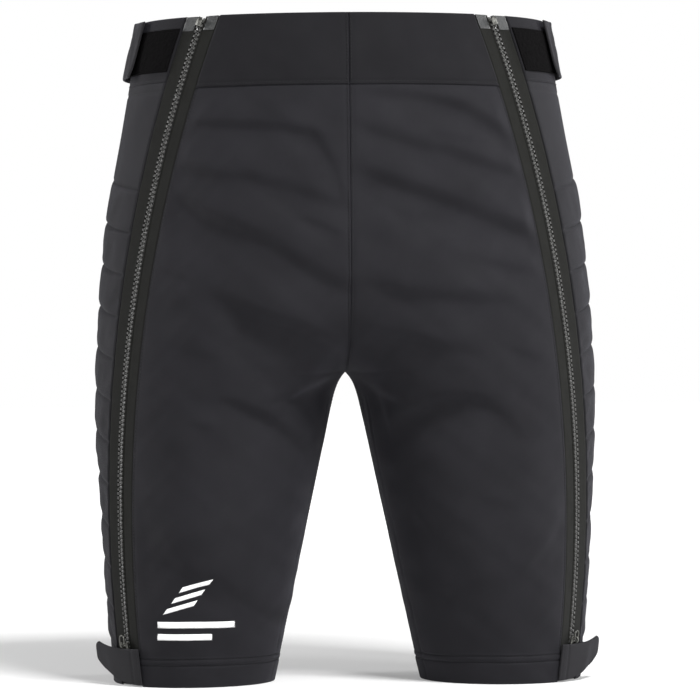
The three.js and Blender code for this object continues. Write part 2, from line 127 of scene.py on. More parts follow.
make_camera()


# ---- The body surface ----

def along_knots(knots, z):
    heights, sizes = np.array(knots, float).T
    last = len(heights) - 1
    k = np.clip(np.searchsorted(heights, z, side="right") - 1, 0, last - 1)
    before, after = np.maximum(np.arange(last + 1) - 1, 0), np.minimum(np.arange(last + 1) + 1, last)
    slopes = (sizes[after] - sizes[before]) / (heights[after] - heights[before])
    step = heights[k + 1] - heights[k]
    f = (z - heights[k]) / step
    f2, f3 = f * f, f * f * f
    return ((2 * f3 - 3 * f2 + 1) * sizes[k] + (f3 - 2 * f2 + f) * step * slopes[k]
            + (3 * f2 - 2 * f3) * sizes[k + 1] + (f3 - f2) * step * slopes[k + 1])


def lerp(a, b, f):
    return a + (b - a) * f


def smooth(a, b, x):
    f = np.clip((x - a) / (b - a), 0, 1)
    return f * f * (3 - 2 * f)


def hump(x, middle, width):
    return np.exp(-((x - middle) / width) ** 2)


def floats(u, z):
    return np.broadcast_arrays(np.asarray(u, float), np.asarray(z, float))


def crossed(columns, rows):
    """A grid from its columns' values and its rows' values."""
    return np.broadcast_arrays(columns[None], rows[:, None])


def unit(v):
    return v / np.maximum(np.linalg.norm(v, axis=-1, keepdims=True), 1e-9)


ZIP_UP = unit(np.array([0, (ZIP_Y_WAIST - ZIP_Y_HEM) / HEIGHT, 1.0]))
ZIP_FRONT = np.cross([1.0, 0, 0], ZIP_UP)
ZIP_CENTRE = np.array([ZIP_WIDEST_X - ZIP_RADIUS,
                       lerp(ZIP_Y_HEM, ZIP_Y_WAIST, ZIP_WIDEST_Z / HEIGHT), ZIP_WIDEST_Z])


def zip_turn(z):
    return np.radians(lerp(ZIP_TURN_HEM, ZIP_TURN_WAIST, z / HEIGHT))


def on_zip(z, across, out=0.0):
    """A point of the zip: across is from the chain towards the side, out is off the body."""
    z, across, out = np.broadcast_arrays(np.asarray(z, float), across, out)
    turn = zip_turn(z)
    radius = ZIP_RADIUS + across * np.cos(turn)
    sine = (z - ZIP_WIDEST_Z + across * np.sin(turn) * ZIP_FRONT[2]) / (radius * ZIP_UP[2])
    radial = np.sqrt(1 - sine ** 2)[..., None] * np.array([1.0, 0, 0]) + sine[..., None] * ZIP_UP
    cosine, sine_turn = np.cos(turn)[..., None], np.sin(turn)[..., None]
    normal = ZIP_FRONT * cosine + radial * sine_turn
    return (ZIP_CENTRE - ZIP_FRONT * across[..., None] * sine_turn
            + radial * radius[..., None] + normal * out[..., None])


def zip_frames(z):
    """Across, along and out directions of the chain at each height, and its point."""
    z = np.asarray(z, float)
    turn = zip_turn(z)[..., None]
    sine = ((z - ZIP_WIDEST_Z) / (ZIP_RADIUS * ZIP_UP[2]))[..., None]
    radial = np.sqrt(1 - sine ** 2) * np.array([1.0, 0, 0]) + sine * ZIP_UP
    out = ZIP_FRONT * np.cos(turn) + radial * np.sin(turn)
    across = radial * np.cos(turn) - ZIP_FRONT * np.sin(turn)
    return across, np.cross(out, across), out, on_zip(z, 0.0)


class Section:
    """The ellipse of one half of the body at each height."""

    def __init__(self, z):
        self.z = z
        self.middle, self.half, self.front = self.measure(z)
        self.back = along_knots(BACK_DEPTH, z)
        self.inner = np.arcsin(np.minimum(self.middle / self.half, 1))
        nearby = [self.measure(np.clip(z + step, 0, HEIGHT))
                  for step in np.linspace(-1, 1, 7) * CROTCH_BLEND]
        self.soft_middle, self.soft_half, self.soft_front = (sum(part) / 7 for part in zip(*nearby))

    @staticmethod
    def measure(z):
        side = along_knots(SIDE_HALF_WIDTH, z)
        below = CROTCH - z
        arch = INSEAM_ROUND * (1 - np.exp(-np.maximum(below, 0) / INSEAM_ROUND_HEIGHT))
        leg = (side + INSEAM_SLOPE * below + arch) / 2
        trunk = side / 2 * np.clip(1 + below / CROTCH_RISE, 0, None) ** 2
        middle = np.where(below > 0, leg, trunk)
        chain = on_zip(z, 0.0)
        front = -chain[..., 1] / np.sqrt(1 - ((chain[..., 0] - middle) / (side - middle)) ** 2)
        return middle, side - middle, front

    def ellipse(self, angle):
        """A point of the section; away from the inseam the crotch is eased over some height."""
        x = self.middle + self.half * np.sin(angle)
        y = -np.where(angle < np.pi / 2, self.front, self.back) * np.cos(angle)
        reach = np.sqrt(1 - np.clip((x - self.soft_middle) / self.soft_half, -0.999, 0.999) ** 2)
        eased = np.where(angle < np.pi / 2, -self.soft_front, self.back) * reach
        from_inseam = x - np.maximum(self.middle - self.half, 0)
        share = smooth(0, 50, from_inseam) * smooth(1, 0.4, np.abs(self.z - CROTCH) / (2 * CROTCH_BLEND))
        share = share * smooth(0.1, 0.6, np.abs(np.cos(angle)))
        return np.stack(np.broadcast_arrays(x, lerp(y, eased, share), self.z), -1)

    def tape_edge(self, across):
        edge = on_zip(self.z, across)
        angle = np.arcsin((edge[..., 0] - self.middle) / self.half)
        return angle, edge[..., 1] - self.ellipse(angle)[..., 1]


def front_point(u, z):
    u, z = floats(u, z)
    s = Section(z)
    angle, lift = s.tape_edge(-TAPE_HALF_WIDTH)
    point = s.ellipse(lerp(-s.inner, angle, u))
    point[..., 1] += lift * u ** 2
    return point


def side_point(u, z):
    u, z = floats(u, z)
    s = Section(z)
    angle, lift = s.tape_edge(TAPE_HALF_WIDTH)
    point = s.ellipse(lerp(angle, math.radians(BACK_SEAM_ANGLE), u))
    point[..., 1] += lift * (1 - u) ** 2
    return point


def back_point(u, z):
    u, z = floats(u, z)
    s = Section(z)
    return s.ellipse(lerp(math.radians(BACK_SEAM_ANGLE), np.pi + s.inner, u))


def normals(point, u, z):
    """Outward directions; near the hem and the waist edge they turn level."""
    du, dz = 0.002, 0.25
    along_u = point(np.minimum(u + du, 1), z) - point(np.maximum(u - du, 0), z)
    along_z = point(u, np.minimum(z + dz, HEIGHT)) - point(u, np.maximum(z - dz, 0))
    n = unit(np.cross(along_u, along_z))
    level = np.clip(np.minimum(z, HEIGHT - z) / 25, 0, 1)
    n[..., 2] *= level
    return unit(n)


# ---- Folds of the cloth ----

# Each fold is a ridge whose lower flank turns in sharply and comes back slowly, along an arc
# seen from the front: (x, z) at both ends, the bow of the arc, the width and the height.
# Signed x, mm.
FRONT_FOLDS = [
    ((-124, 442), (-16, 429), 3, 8, 2.2), ((-30, 437), (-3, 374), 5, 7, 1.3),
    ((-142, 410), (-2, 377), 3, 11, 2.4), ((-136, 388), (2, 312), 0, 14, 4.0),
    ((-104, 310), (-6, 264), 0, 15, 4.6), ((-138, 268), (-92, 258), 0, 10, 0.8),
    ((-66, 225), (-12, 246), 0, 10, 2.0), ((-104, 228), (-36, 186), 8, 9, 2.6),
    ((-162, 146), (-104, 66), -3, 18, 2.9), ((-116, 96), (-48, 46), 0, 11, 2.2),
    ((2, 470), (138, 424), 10, 9, 2.8), ((4, 441), (150, 399), -3, 10, 2.8),
    ((3, 408), (162, 350), -2, 12, 4.2), ((6, 320), (124, 304), -5, 13, 3.4),
    ((86, 338), (158, 322), 0, 10, 1.8), ((12, 283), (94, 262), 0, 12, 2.6),
    ((34, 206), (134, 197), 27, 13, 3.2), ((10, 243), (46, 224), -2, 9, 2.5),
    ((20, 232), (34, 196), 3, 7, 1.5), ((-48, 226), (-9, 243), 2, 9, 2.1),
    ((176, 150), (130, 76), 0, 13, 1.6), ((60, 70), (108, 86), 0, 10, 1.0),
    ((46, 147), (70, 110), 0, 9, 0.9), ((-40, 366), (-4, 352), 2, 5, 0.9),
    ((60, 432), (112, 424), 0, 6, 0.8), ((30, 372), (70, 366), 0, 6, 0.7),
    ((118, 268), (152, 256), 0, 7, 1.0), ((-150, 330), (-118, 318), 0, 7, 0.9),
    ((-128, 208), (-100, 204), 0, 7, 1.0), ((96, 150), (136, 140), 0, 9, 1.0),
]
BACK_FOLDS = [
    ((-120, 302), (-26, 262), 6, 14, 2.5), ((120, 298), (28, 264), -6, 14, 2.5),
    ((-142, 262), (-48, 232), 4, 10, 2.6), ((138, 258), (52, 234), -4, 10, 2.6),
    ((-132, 200), (-58, 166), 6, 12, 2.8), ((136, 192), (60, 170), -5, 12, 2.6),
    ((-120, 452), (-18, 434), 3, 9, 2.0), ((124, 446), (20, 436), -3, 9, 1.9),
    ((-130, 100), (-76, 68), 0, 11, 2.4), ((132, 92), (82, 60), 0, 11, 2.3),
    ((-136, 396), (-20, 368), 6, 13, 2.4), ((130, 400), (24, 362), -6, 13, 2.4),
]


def fold_height(folds, x, z):
    total = np.zeros_like(x)
    for (x0, z0), (x1, z1), bow, width, height in folds:
        run = np.array([x1 - x0, z1 - z0], float)
        length = np.hypot(*run)
        direction = run / length
        along = (x - x0) * direction[0] + (z - z0) * direction[1]
        off = (x - x0) * -direction[1] + (z - z0) * direction[0]
        part = np.clip(along / length, 0, 1)
        off = (off - bow * 4 * part * (1 - part)) * np.sign(direction[0]) + 0.1 * width * np.sin(along / 17)
        reach = smooth(-width, width * 2.5, along) * smooth(-width, width * 2.5, length - along)
        off = off / (width * (0.65 + 0.35 * reach))
        ridge = hump(off, 0.5, np.where(off > 0.5, 2.4, 0.9))
        valley = hump(off, -0.6, np.where(off < -0.6, 1.8, 0.7))
        total += height * reach * (ridge - valley)
    return total


def drape(x, z):
    """Slow unevenness all over, from a few waves that never line up."""
    waves = [(0.9, 61, 0.4, 1.1), (0.6, 37, 1.9, 0.3), (0.45, 23, 0.9, 2.2), (0.28, 14, 2.4, 4.0)]
    total = np.zeros_like(x)
    for height, wavelength, heading, start in waves:
        phase = (x * math.cos(heading) + z * math.sin(heading)) / wavelength * 2 * np.pi
        total += height * np.sin(phase + start + 0.7 * np.sin(phase * 0.43 + heading))
    return total


SEAM_CALM = 16       # how far from a seam the folds reach their full height
DRAPE_SHARE = 0.45


def cloth_height(folds, x, z, from_seam):
    """Height of the folds, which die away at the sewn edges."""
    return (fold_height(folds, x, z) + DRAPE_SHARE * drape(x, z)) * smooth(0, SEAM_CALM, from_seam)


# ---- Meshes ----

def spaced(length, step, edge=(0, 0.2, 0.5, 0.9, 1.5, 2.4)):
    """Places from 0 to 1 along a length, closer together at both ends."""
    inner = np.linspace(edge[-1], length - edge[-1], max(int((length - 2 * edge[-1]) / step), 2) + 1)
    ends = np.array(edge[:-1])
    return np.concatenate([ends, inner, length - ends[::-1]]) / length


def on_body(points, side):
    """Millimetre points modelled on +X, mirrored for the wearer's right and centred."""
    placed = np.array(points, float)
    placed[..., 0] *= SIDES[side]
    placed[..., 1] += BOX_SHIFT_Y
    return placed


def flipped(faces):
    return [polygon[::-1] for polygon in faces]


def make_object(name, points, faces, side, material, uv=None):
    """An object from millimetre points modelled on +X, mirrored for the wearer's right."""
    mesh = bpy.data.meshes.new(name)
    mesh.from_pydata((on_body(points, side) * MM).tolist(), [], faces if SIDES[side] > 0 else flipped(faces))
    if uv is not None:
        layer = mesh.uv_layers.new(name="cloth")
        index = np.empty(len(mesh.loops), np.int64)
        mesh.loops.foreach_get("vertex_index", index)
        layer.data.foreach_set("uv", (np.asarray(uv) * MM)[index].ravel())
    mesh.polygons.foreach_set("use_smooth", np.ones(len(mesh.polygons), bool))
    mesh.materials.append(material)
    mesh.update()
    thing = bpy.data.objects.new(name, mesh)
    bpy.context.collection.objects.link(thing)
    return thing


def grid_lengths(points):
    """Distance along each row and each column of a grid, from its first point."""
    row = np.linalg.norm(np.diff(points, axis=1), axis=-1).cumsum(axis=1)
    column = np.linalg.norm(np.diff(points, axis=0), axis=-1).cumsum(axis=0)
    row = np.concatenate([np.zeros((points.shape[0], 1)), row], axis=1)
    column = np.concatenate([np.zeros((1, points.shape[1])), column], axis=0)
    return row, column


def edge_distance(points):
    row, column = grid_lengths(points)
    return np.minimum(np.minimum(row, row[:, -1:] - row), np.minimum(column, column[-1:] - column))


def rounding(distance, radius):
    """How far a round edge has risen, from 0 to 1, at each distance from it."""
    return np.sqrt(1 - (1 - np.minimum(distance / radius, 1)) ** 2)


def quads(n):
    """The four-sided faces of a grid of vertex numbers."""
    return np.stack([n[:-1, :-1], n[:-1, 1:], n[1:, 1:], n[1:, :-1]], -1).reshape(-1, 4)


def skin(name, outer, inner, side, material):
    """A closed cloth from two grids that share their border."""
    rows, columns = outer.shape[:2]
    number = np.arange(rows * columns).reshape(rows, columns)
    back = number.copy()
    back[1:-1, 1:-1] = number.size + np.arange((rows - 2) * (columns - 2)).reshape(rows - 2, columns - 2)
    faces = np.concatenate([quads(number), quads(back)[:, ::-1]])
    vertices = np.concatenate([outer.reshape(-1, 3), inner[1:-1, 1:-1].reshape(-1, 3)])
    uv = np.stack(grid_lengths(outer), -1)
    uv = np.concatenate([uv.reshape(-1, 2), uv[1:-1, 1:-1].reshape(-1, 2)])
    return make_object(name, vertices, faces.tolist(), side, material, uv)


def on_surface(point, u, z):
    return point(u, z), normals(point, u, z)


def pillow(name, surface, out, inn, side, material, edge_round, lift=0.0, middle_column=None):
    """Cloth with rounded edges over a grid of points and directions, between two offsets from it."""
    base, direction = surface
    fullness = rounding(edge_distance(base), edge_round)
    middle = (np.asarray(out) + np.asarray(inn)) / 2
    above = lift + middle + (out - middle) * fullness
    below = lift + middle - (middle - inn) * fullness
    outer = base + direction * np.asarray(above)[..., None]
    inner = base + direction * np.asarray(below)[..., None]
    for face in (outer, inner):
        face[..., 0] = np.maximum(face[..., 0], 0)
        if middle_column is not None:
            on_middle = base[:, middle_column, 0] < 0.3
            face[on_middle, middle_column, 0] = 0
    return skin(name, outer, inner, side, material)


def band(a, b, count):
    """The faces between two rings of count vertices that start at a and b."""
    return [[a + i, a + (i + 1) % count, b + (i + 1) % count, b + i] for i in range(count)]


def sweep(path, radius, sides=8, closed=False, up=None):
    """Vertices and faces of a tube along a path, with flat round ends unless closed."""
    path = np.asarray(path, float)
    count = len(path)
    ahead = np.roll(path, -1, 0) - np.roll(path, 1, 0)
    if not closed:
        ahead[0], ahead[-1] = path[1] - path[0], path[-1] - path[-2]
    ahead = unit(ahead)
    up = np.array(up if up is not None else [0.0, 0.0, 1.0])
    across = unit(np.cross(ahead, up))
    over = np.cross(across, ahead)
    angle = np.linspace(0, 2 * np.pi, sides, endpoint=False)
    radius = np.broadcast_to(radius, (count,))
    ring = (path[:, None] + across[:, None] * (np.cos(angle)[:, None] * radius[:, None, None])
            + over[:, None] * (np.sin(angle)[:, None] * radius[:, None, None]))
    faces = []
    for j in range(count if closed else count - 1):
        faces += band(j * sides, (j + 1) % count * sides, sides)
    if not closed:
        faces.append(list(range(sides))[::-1])
        faces.append(list(range((count - 1) * sides, count * sides)))
    return ring.reshape(-1, 3), faces


def plate(outline, low, high, bevel=0.3):
    """Vertices and faces of a flat piece with softened rims; outline is counter-clockwise."""
    outline = np.asarray(outline, float)
    ahead = unit(np.roll(outline, -1, 0) - np.roll(outline, 1, 0))
    inward = np.stack([-ahead[:, 1], ahead[:, 0]], -1)
    rings = []
    for inset, height in ((bevel, low), (0, low + bevel), (0, high - bevel), (bevel, high)):
        flat = outline + inward * inset
        rings.append(np.column_stack([flat, np.full(len(flat), height)]))
    count = len(outline)
    faces = [list(range(count))[::-1], list(range(3 * count, 4 * count))]
    for ring in range(3):
        faces += band(ring * count, (ring + 1) * count, count)
    return np.concatenate(rings), faces


def joined(parts):
    """One set of vertices and faces from several."""
    vertices, faces, start = [], [], 0
    for points, polygons in parts:
        vertices.append(points)
        faces += [[k + start for k in polygon] for polygon in polygons]
        start += len(points)
    return np.concatenate(vertices), faces


def copies(part, origins, x_axis, y_axis, z_axis):
    """Copies of one small part at many places: arrays of origins and of three axes."""
    points, polygons = part
    placed = (origins[:, None] + points[None, :, 0, None] * x_axis[:, None]
              + points[None, :, 1, None] * y_axis[:, None] + points[None, :, 2, None] * z_axis[:, None])
    step = len(points) * np.arange(len(origins))
    by_size = {}
    for polygon in polygons:
        by_size.setdefault(len(polygon), []).append(polygon)
    faces = []
    for group in by_size.values():
        faces += (np.array(group)[None] + step[:, None, None]).reshape(-1, len(group[0])).tolist()
    return placed.reshape(-1, 3), faces


def make_part(name, part, side, material):
    points, faces = part
    uv = np.stack([points[:, 0] + points[:, 1], points[:, 2]], -1)
    return make_object(name, points, faces, side, material, uv)


def attach(thing, body, nodes=()):
    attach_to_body(thing, body)
    if nodes:
        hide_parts(*nodes)


# ---- Stitching ----

def stitch_shape(length=STITCH_PITCH * 0.74, width=0.5, height=0.3):
    """One stitch: a short thread that dips into the cloth at both ends."""
    rings = []
    for along, narrow in ((-0.5, 0.35), (-0.36, 0.85), (0, 1), (0.36, 0.85), (0.5, 0.35)):
        half, top = narrow * width / 2, height * (0.1 + 0.9 * narrow) if narrow > 0.5 else 0
        rings.append([(along * length, y * half, z) for y, z in
                      ((-1, -0.1), (-0.7, top * 0.8), (0, top), (0.7, top * 0.8), (1, -0.1))])
    points = np.array(rings, float).reshape(-1, 3)
    faces = []
    for a in range(0, 20, 5):
        faces += band(a, a + 5, 5)
    return points, faces + [[4, 3, 2, 1, 0], [20, 21, 22, 23, 24]]


def stitches(path, up):
    """Stitches laid end to end along a path of points with outward directions."""
    run = np.concatenate([[0], np.linalg.norm(np.diff(path, axis=0), axis=-1).cumsum()])
    count = max(int(run[-1] / STITCH_PITCH), 1)
    at = (np.arange(count) + 0.5) * run[-1] / count

    def pick(values, places):
        return np.stack([np.interp(places, run, values[:, k]) for k in range(3)], -1)

    ahead = unit(pick(path, at + 0.5) - pick(path, at - 0.5))
    across = unit(np.cross(unit(pick(up, at)), ahead))
    return copies(stitch_shape(), pick(path, at), ahead, across, np.cross(ahead, across))


# ---- Finishes ----

def node_output(tree, kind, output, inputs=None, **settings):
    """One output of a new shader node; its inputs are values or other nodes' outputs."""
    node = tree.nodes.new("ShaderNode" + kind)
    for setting, value in settings.items():
        setattr(node, setting, value)
    for place, value in (inputs or {}).items():
        if isinstance(value, bpy.types.NodeSocket):
            tree.links.new(value, node.inputs[place])
        else:
            node.inputs[place].default_value = value
    return node.outputs[output]


class Finish:
    """A procedural material: colour, roughness and bump from textures in metres."""

    def __init__(self, name, color, roughness, **fixed):
        self.material = bpy.data.materials.new(name)
        self.material.use_nodes = True
        self.tree = self.material.node_tree
        self.shader = self.tree.nodes["Principled BSDF"].inputs
        self.color = color
        for socket, value in {"Base Color": (*color, 1), "Roughness": roughness, **fixed}.items():
            self.shader[socket.replace("_", " ")].default_value = value
        self.solid = self.node("TexCoord", "Object")
        self.unrolled = self.node("UVMap", "UV", uv_map="cloth")
        self.normal = None

    def node(self, kind, output, inputs=None, **settings):
        return node_output(self.tree, kind, output, inputs, **settings)

    def drive(self, socket, source):
        self.tree.links.new(source, self.shader[socket])

    def math(self, operation, a, b=0.0):
        return self.node("Math", 0, {0: a, 1: b}, operation=operation)

    def mix(self, a, b, share):
        """Sum of two textures, with the given share of the first."""
        return self.math("ADD", self.math("MULTIPLY", a, share), self.math("MULTIPLY", b, 1 - share))

    def noise(self, size, detail=3, stretch=(1, 1, 1), unrolled=False):
        """Noise whose features are about size metres across."""
        place = self.node("Mapping", "Vector", {"Vector": self.unrolled if unrolled else self.solid,
                                                "Scale": stretch})
        return self.node("TexNoise", "Fac", {"Vector": place, "Scale": 1 / size, "Detail": detail})

    def cells(self, size):
        """Soft-edged cells of about size metres."""
        return self.node("TexVoronoi", "Distance", {"Vector": self.solid, "Scale": 1 / size},
                         feature="SMOOTH_F1")

    def ribs(self, across, along, pitch):
        """Threads of the given pitch, across the direction (across, along) of the cloth."""
        place = self.node("VectorMath", "Value", {0: self.unrolled, 1: (across / pitch, along / pitch, 0)},
                          operation="DOT_PRODUCT")
        return self.math("SINE", self.math("MULTIPLY", place, 2 * math.pi))

    def tone(self, factor, dark, light, contrast=(0.3, 0.7)):
        """Colour between dark and light multiples of the finish's own colour."""
        shade = self.node("ValToRGB", "Color", {"Fac": factor})
        for stop, place, scale in zip(shade.node.color_ramp.elements, contrast, (dark, light)):
            stop.position = place
            stop.color = (*(min(channel * scale, 1) for channel in self.color), 1)
        self.drive("Base Color", shade)

    def spread(self, socket, factor, low, high, **ends):
        """Drives a socket from low to high as the factor goes from 0 to 1, or between other ends."""
        ends = {place.replace("_", " "): value for place, value in ends.items()}
        self.drive(socket, self.node("MapRange", "Result",
                                     {"Value": factor, "To Min": low, "To Max": high, **ends}))

    def bump(self, height, distance, strength):
        """Adds a layer of bump, distance metres deep."""
        inputs = {"Height": height, "Distance": distance, "Strength": strength}
        if self.normal:
            inputs["Normal"] = self.normal
        self.normal = self.node("Bump", "Normal", inputs)

    def done(self, tone, rough, *bumps):
        """The material, from the arguments of its tone, its roughness and its layers of bump."""
        self.tone(*tone)
        self.spread("Roughness", *rough)
        for layer in bumps:
            self.bump(*layer)
        self.drive("Normal", self.normal)
        return self.material


CHARCOAL = (0.0100, 0.0097, 0.0118)
TAPE_WARP = 0.00095


def softshell(name, color=CHARCOAL, roughness=0.82, thread=0.0006):
    """Matt woven cloth with a soft nap: twill threads, slubs and uneven tone."""
    finish = Finish(name, color, roughness, Specular_IOR_Level=0.14, Sheen_Weight=0.05,
                    Sheen_Roughness=0.45, Sheen_Tint=(0.72, 0.70, 0.86, 1))
    weave = finish.mix(finish.ribs(1, 1, thread), finish.ribs(0, 1, thread * 0.8), 0.6)
    slub = finish.noise(0.004, 4, stretch=(1, 5, 1), unrolled=True)
    mottle = finish.noise(0.045, 5)
    return finish.done((finish.mix(slub, mottle, 0.35), 0.84, 1.18),
                       (finish.noise(0.02), roughness - 0.08, roughness + 0.08),
                       (mottle, 0.0008, 0.35), (slub, 0.00012, 0.5), (weave, 0.00006, 0.55))


def zip_tape_cloth():
    """Ribbed woven tape, a little greener and flatter than the softshell."""
    finish = Finish("zip_tape_cloth", (0.0061, 0.0062, 0.0053), 0.9, Specular_IOR_Level=0.1,
                    Sheen_Weight=0.03, Sheen_Roughness=0.5)
    woven = finish.mix(finish.ribs(1, 0, TAPE_WARP), finish.ribs(0, 1, 0.0007), 0.7)
    return finish.done((finish.math("ADD", woven, 0.5), 0.8, 1.25, (0.0, 1.0)),
                       (finish.noise(0.006), 0.76, 0.92),
                       (woven, 0.00014, 0.7), (finish.noise(0.02), 0.0004, 0.4))


def moulded_plastic():
    """Moulded plastic of the teeth, with a fine eggshell surface and a tone that varies at random."""
    finish = Finish("zip_tooth", (0.026, 0.026, 0.024), 0.32, Specular_IOR_Level=0.6, Coat_Weight=0.1,
                    Coat_Roughness=0.3)
    grain = finish.noise(0.0006)
    return finish.done((finish.noise(0.003, 4), 0.7, 1.35), (grain, 0.24, 0.46), (grain, 0.00003, 0.5))


def gunmetal():
    """Dark plated zinc, brighter where it is rubbed."""
    finish = Finish("gunmetal", (0.11, 0.11, 0.102), 0.36, Metallic=1.0)
    wear = finish.noise(0.0022, 5)
    return finish.done((wear, 0.8, 1.3), (wear, 0.36, 0.5), (finish.noise(0.0005, 2), 0.00002, 0.6))


def loop_pile():
    """Black napped loop: deep pile with a few lighter fibres."""
    finish = Finish("loop_pile", (0.0022, 0.0020, 0.0022), 0.95, Specular_IOR_Level=0.04)
    fibre = finish.noise(0.0007, 6)
    return finish.done((fibre, 0.5, 2.2, (0.4, 0.75)), (fibre, 0.88, 1.0),
                       (fibre, 0.0004, 0.9), (finish.noise(0.0018, 4), 0.0003, 0.5))


def hook_sheet():
    """Stiff black sheet of small moulded hooks in rows."""
    finish = Finish("hook_sheet", (0.007, 0.007, 0.008), 0.5, Specular_IOR_Level=0.4)
    rows = finish.math("MULTIPLY", finish.ribs(1, 0, 0.0013), finish.ribs(0, 1, 0.0011))
    return finish.done((rows, 0.6, 1.8, (0.2, 0.8)), (finish.noise(0.001), 0.4, 0.65), (rows, 0.0003, 0.9))


def film():
    """Clear reinforcing film, ironed on over the tape: grey and satin with fine creases."""
    finish = Finish("reinforcing_film", (0.018, 0.019, 0.0193), 0.4, Specular_IOR_Level=0.5,
                    Coat_Weight=0.12, Coat_Roughness=0.3)
    crease = finish.noise(0.003, 5, stretch=(1, 3, 1))
    return finish.done((crease, 0.6, 1.7), (crease, 0.3, 0.5),
                       (crease, 0.0002, 0.5), (finish.ribs(1, 0, TAPE_WARP), 0.00006, 0.4))


def impact_foam():
    """Grey closed-cell foam with open pores on its skin."""
    finish = Finish("impact_foam", (0.20, 0.21, 0.23), 0.9, Specular_IOR_Level=0.25)
    pores = finish.cells(0.0016)
    return finish.done((pores, 0.6, 1.1, (0.05, 0.4)), (pores, 0.8, 1.0),
                       (pores, 0.0005, 0.7), (finish.noise(0.012), 0.001, 0.4))


def mesh_lining():
    """Black knitted mesh with small round holes."""
    finish = Finish("mesh_lining", (0.012, 0.012, 0.014), 0.85, Specular_IOR_Level=0.2,
                    Sheen_Weight=0.15, Sheen_Roughness=0.5)
    holes = finish.math("MULTIPLY", finish.ribs(1, 1, 0.0034), finish.ribs(1, -1, 0.0034))
    return finish.done((holes, 0.35, 1.3, (0.1, 0.5)), (finish.noise(0.002), 0.78, 0.95),
                       (holes, 0.0006, 0.8), (finish.ribs(0, 1, 0.0008), 0.0001, 0.4))


def sewing_thread():
    """Twisted polyester thread, a shade glossier than the cloth."""
    finish = Finish("sewing_thread", (0.0055, 0.0055, 0.0065), 0.6, Specular_IOR_Level=0.25)
    twist = finish.noise(0.0005, 2, stretch=(3, 1, 3))
    return finish.done((twist, 0.6, 1.5), (twist, 0.45, 0.65), (twist, 0.0001, 0.8))


def print_ink():
    """Matt off-white transfer with the cloth's texture showing through."""
    finish = Finish("print_ink", (0.80, 0.80, 0.80), 0.6, Specular_IOR_Level=0.3)
    wear = finish.noise(0.0015, 6)
    return finish.done((wear, 0.86, 1.05, (0.25, 0.5)), (wear, 0.5, 0.75),
                       (finish.ribs(1, 1, 0.0006), 0.00004, 0.5))


def studio_floor():
    """Pale floor that glows more where less of the studio light reaches it."""
    finish = Finish("studio_floor", (0.62, 0.62, 0.62), 0.8, Specular_IOR_Level=0.1,
                    Emission_Color=(1, 1, 1, 1))
    finish.tone(finish.noise(0.8, 2), 0.99, 1.01)
    far = finish.node("VectorMath", "Value", {0: finish.solid}, operation="LENGTH")
    finish.spread("Emission Strength", far, 0.25, 1.0, From_Min=0.8, From_Max=3.0)
    return finish.material


PANEL_CLOTH = softshell("softshell_panel")
BAND_CLOTH = softshell("softshell_waistband", (0.0063, 0.0061, 0.0074))
QUILT_CLOTH = softshell("softshell_quilted", (0.0112, 0.0110, 0.0125))
TAB_CLOTH = softshell("softshell_tab", (0.0125, 0.0122, 0.0135), thread=0.0007)
TAPE = zip_tape_cloth()
TOOTH = moulded_plastic()
METAL = gunmetal()
LOOP = loop_pile()
HOOK = hook_sheet()
FILM = film()
FOAM = impact_foam()
LINING = mesh_lining()
THREAD = sewing_thread()
INK = print_ink()


# ---- Front and back panels ----

class Cloth:
    """A panel on the body with its folds. middle is the u of the edge at the body's middle."""

    def __init__(self, point, folds, side, top, middle):
        self.point, self.folds, self.side = point, folds, side
        self.top, self.middle = top, middle

    def width(self, z):
        z = np.asarray(z, float)
        line = self.point(np.linspace(0, 1, 13), z[..., None])
        return np.linalg.norm(np.diff(line, axis=-2), axis=-1).sum(-1)

    def across(self, u, z):
        """Distance from the edge at the body's middle, and from the edge at the tape."""
        part, width = np.abs(u - self.middle), self.width(z)
        return part * width, (1 - part) * width

    def lift(self, u, z, base):
        from_middle, from_tape = self.across(u, z)
        from_middle = from_middle + 30 * smooth(CROTCH - 5, CROTCH + 40, z)
        distance = np.minimum(np.minimum(from_middle, from_tape), np.minimum(self.top - z + 2, z + 4))
        return cloth_height(self.folds, base[..., 0] * SIDES[self.side], z, distance)

    def at(self, u, z, off):
        """Points on the folded cloth, and its outward directions there."""
        u, z = floats(u, z)
        base, out = on_surface(self.point, u, z)
        return base + out * (self.lift(u, z, base) + off)[..., None], out


def panel_height(rise, towards_middle, top):
    """Rows are even at the tape and gather towards the crotch at the middle."""
    turn = CROTCH / top
    middle = np.where(rise < turn, rise * top,
                      CROTCH + (top - CROTCH) * (np.maximum(rise - turn, 0) / (1 - turn)) ** 2)
    return lerp(rise * top, middle, towards_middle ** 2)


def stitch_grooves(place, lines, depth=0.7, width=0.8):
    """Dents that lines of stitches pull into the cloth."""
    return -sum(depth * hump(place, line, width) for line in lines)


HEM_LINES = (17.5, 22.5)
SIDE_LINE_DROP = 8.0
INSEAM_LINE = 25.0


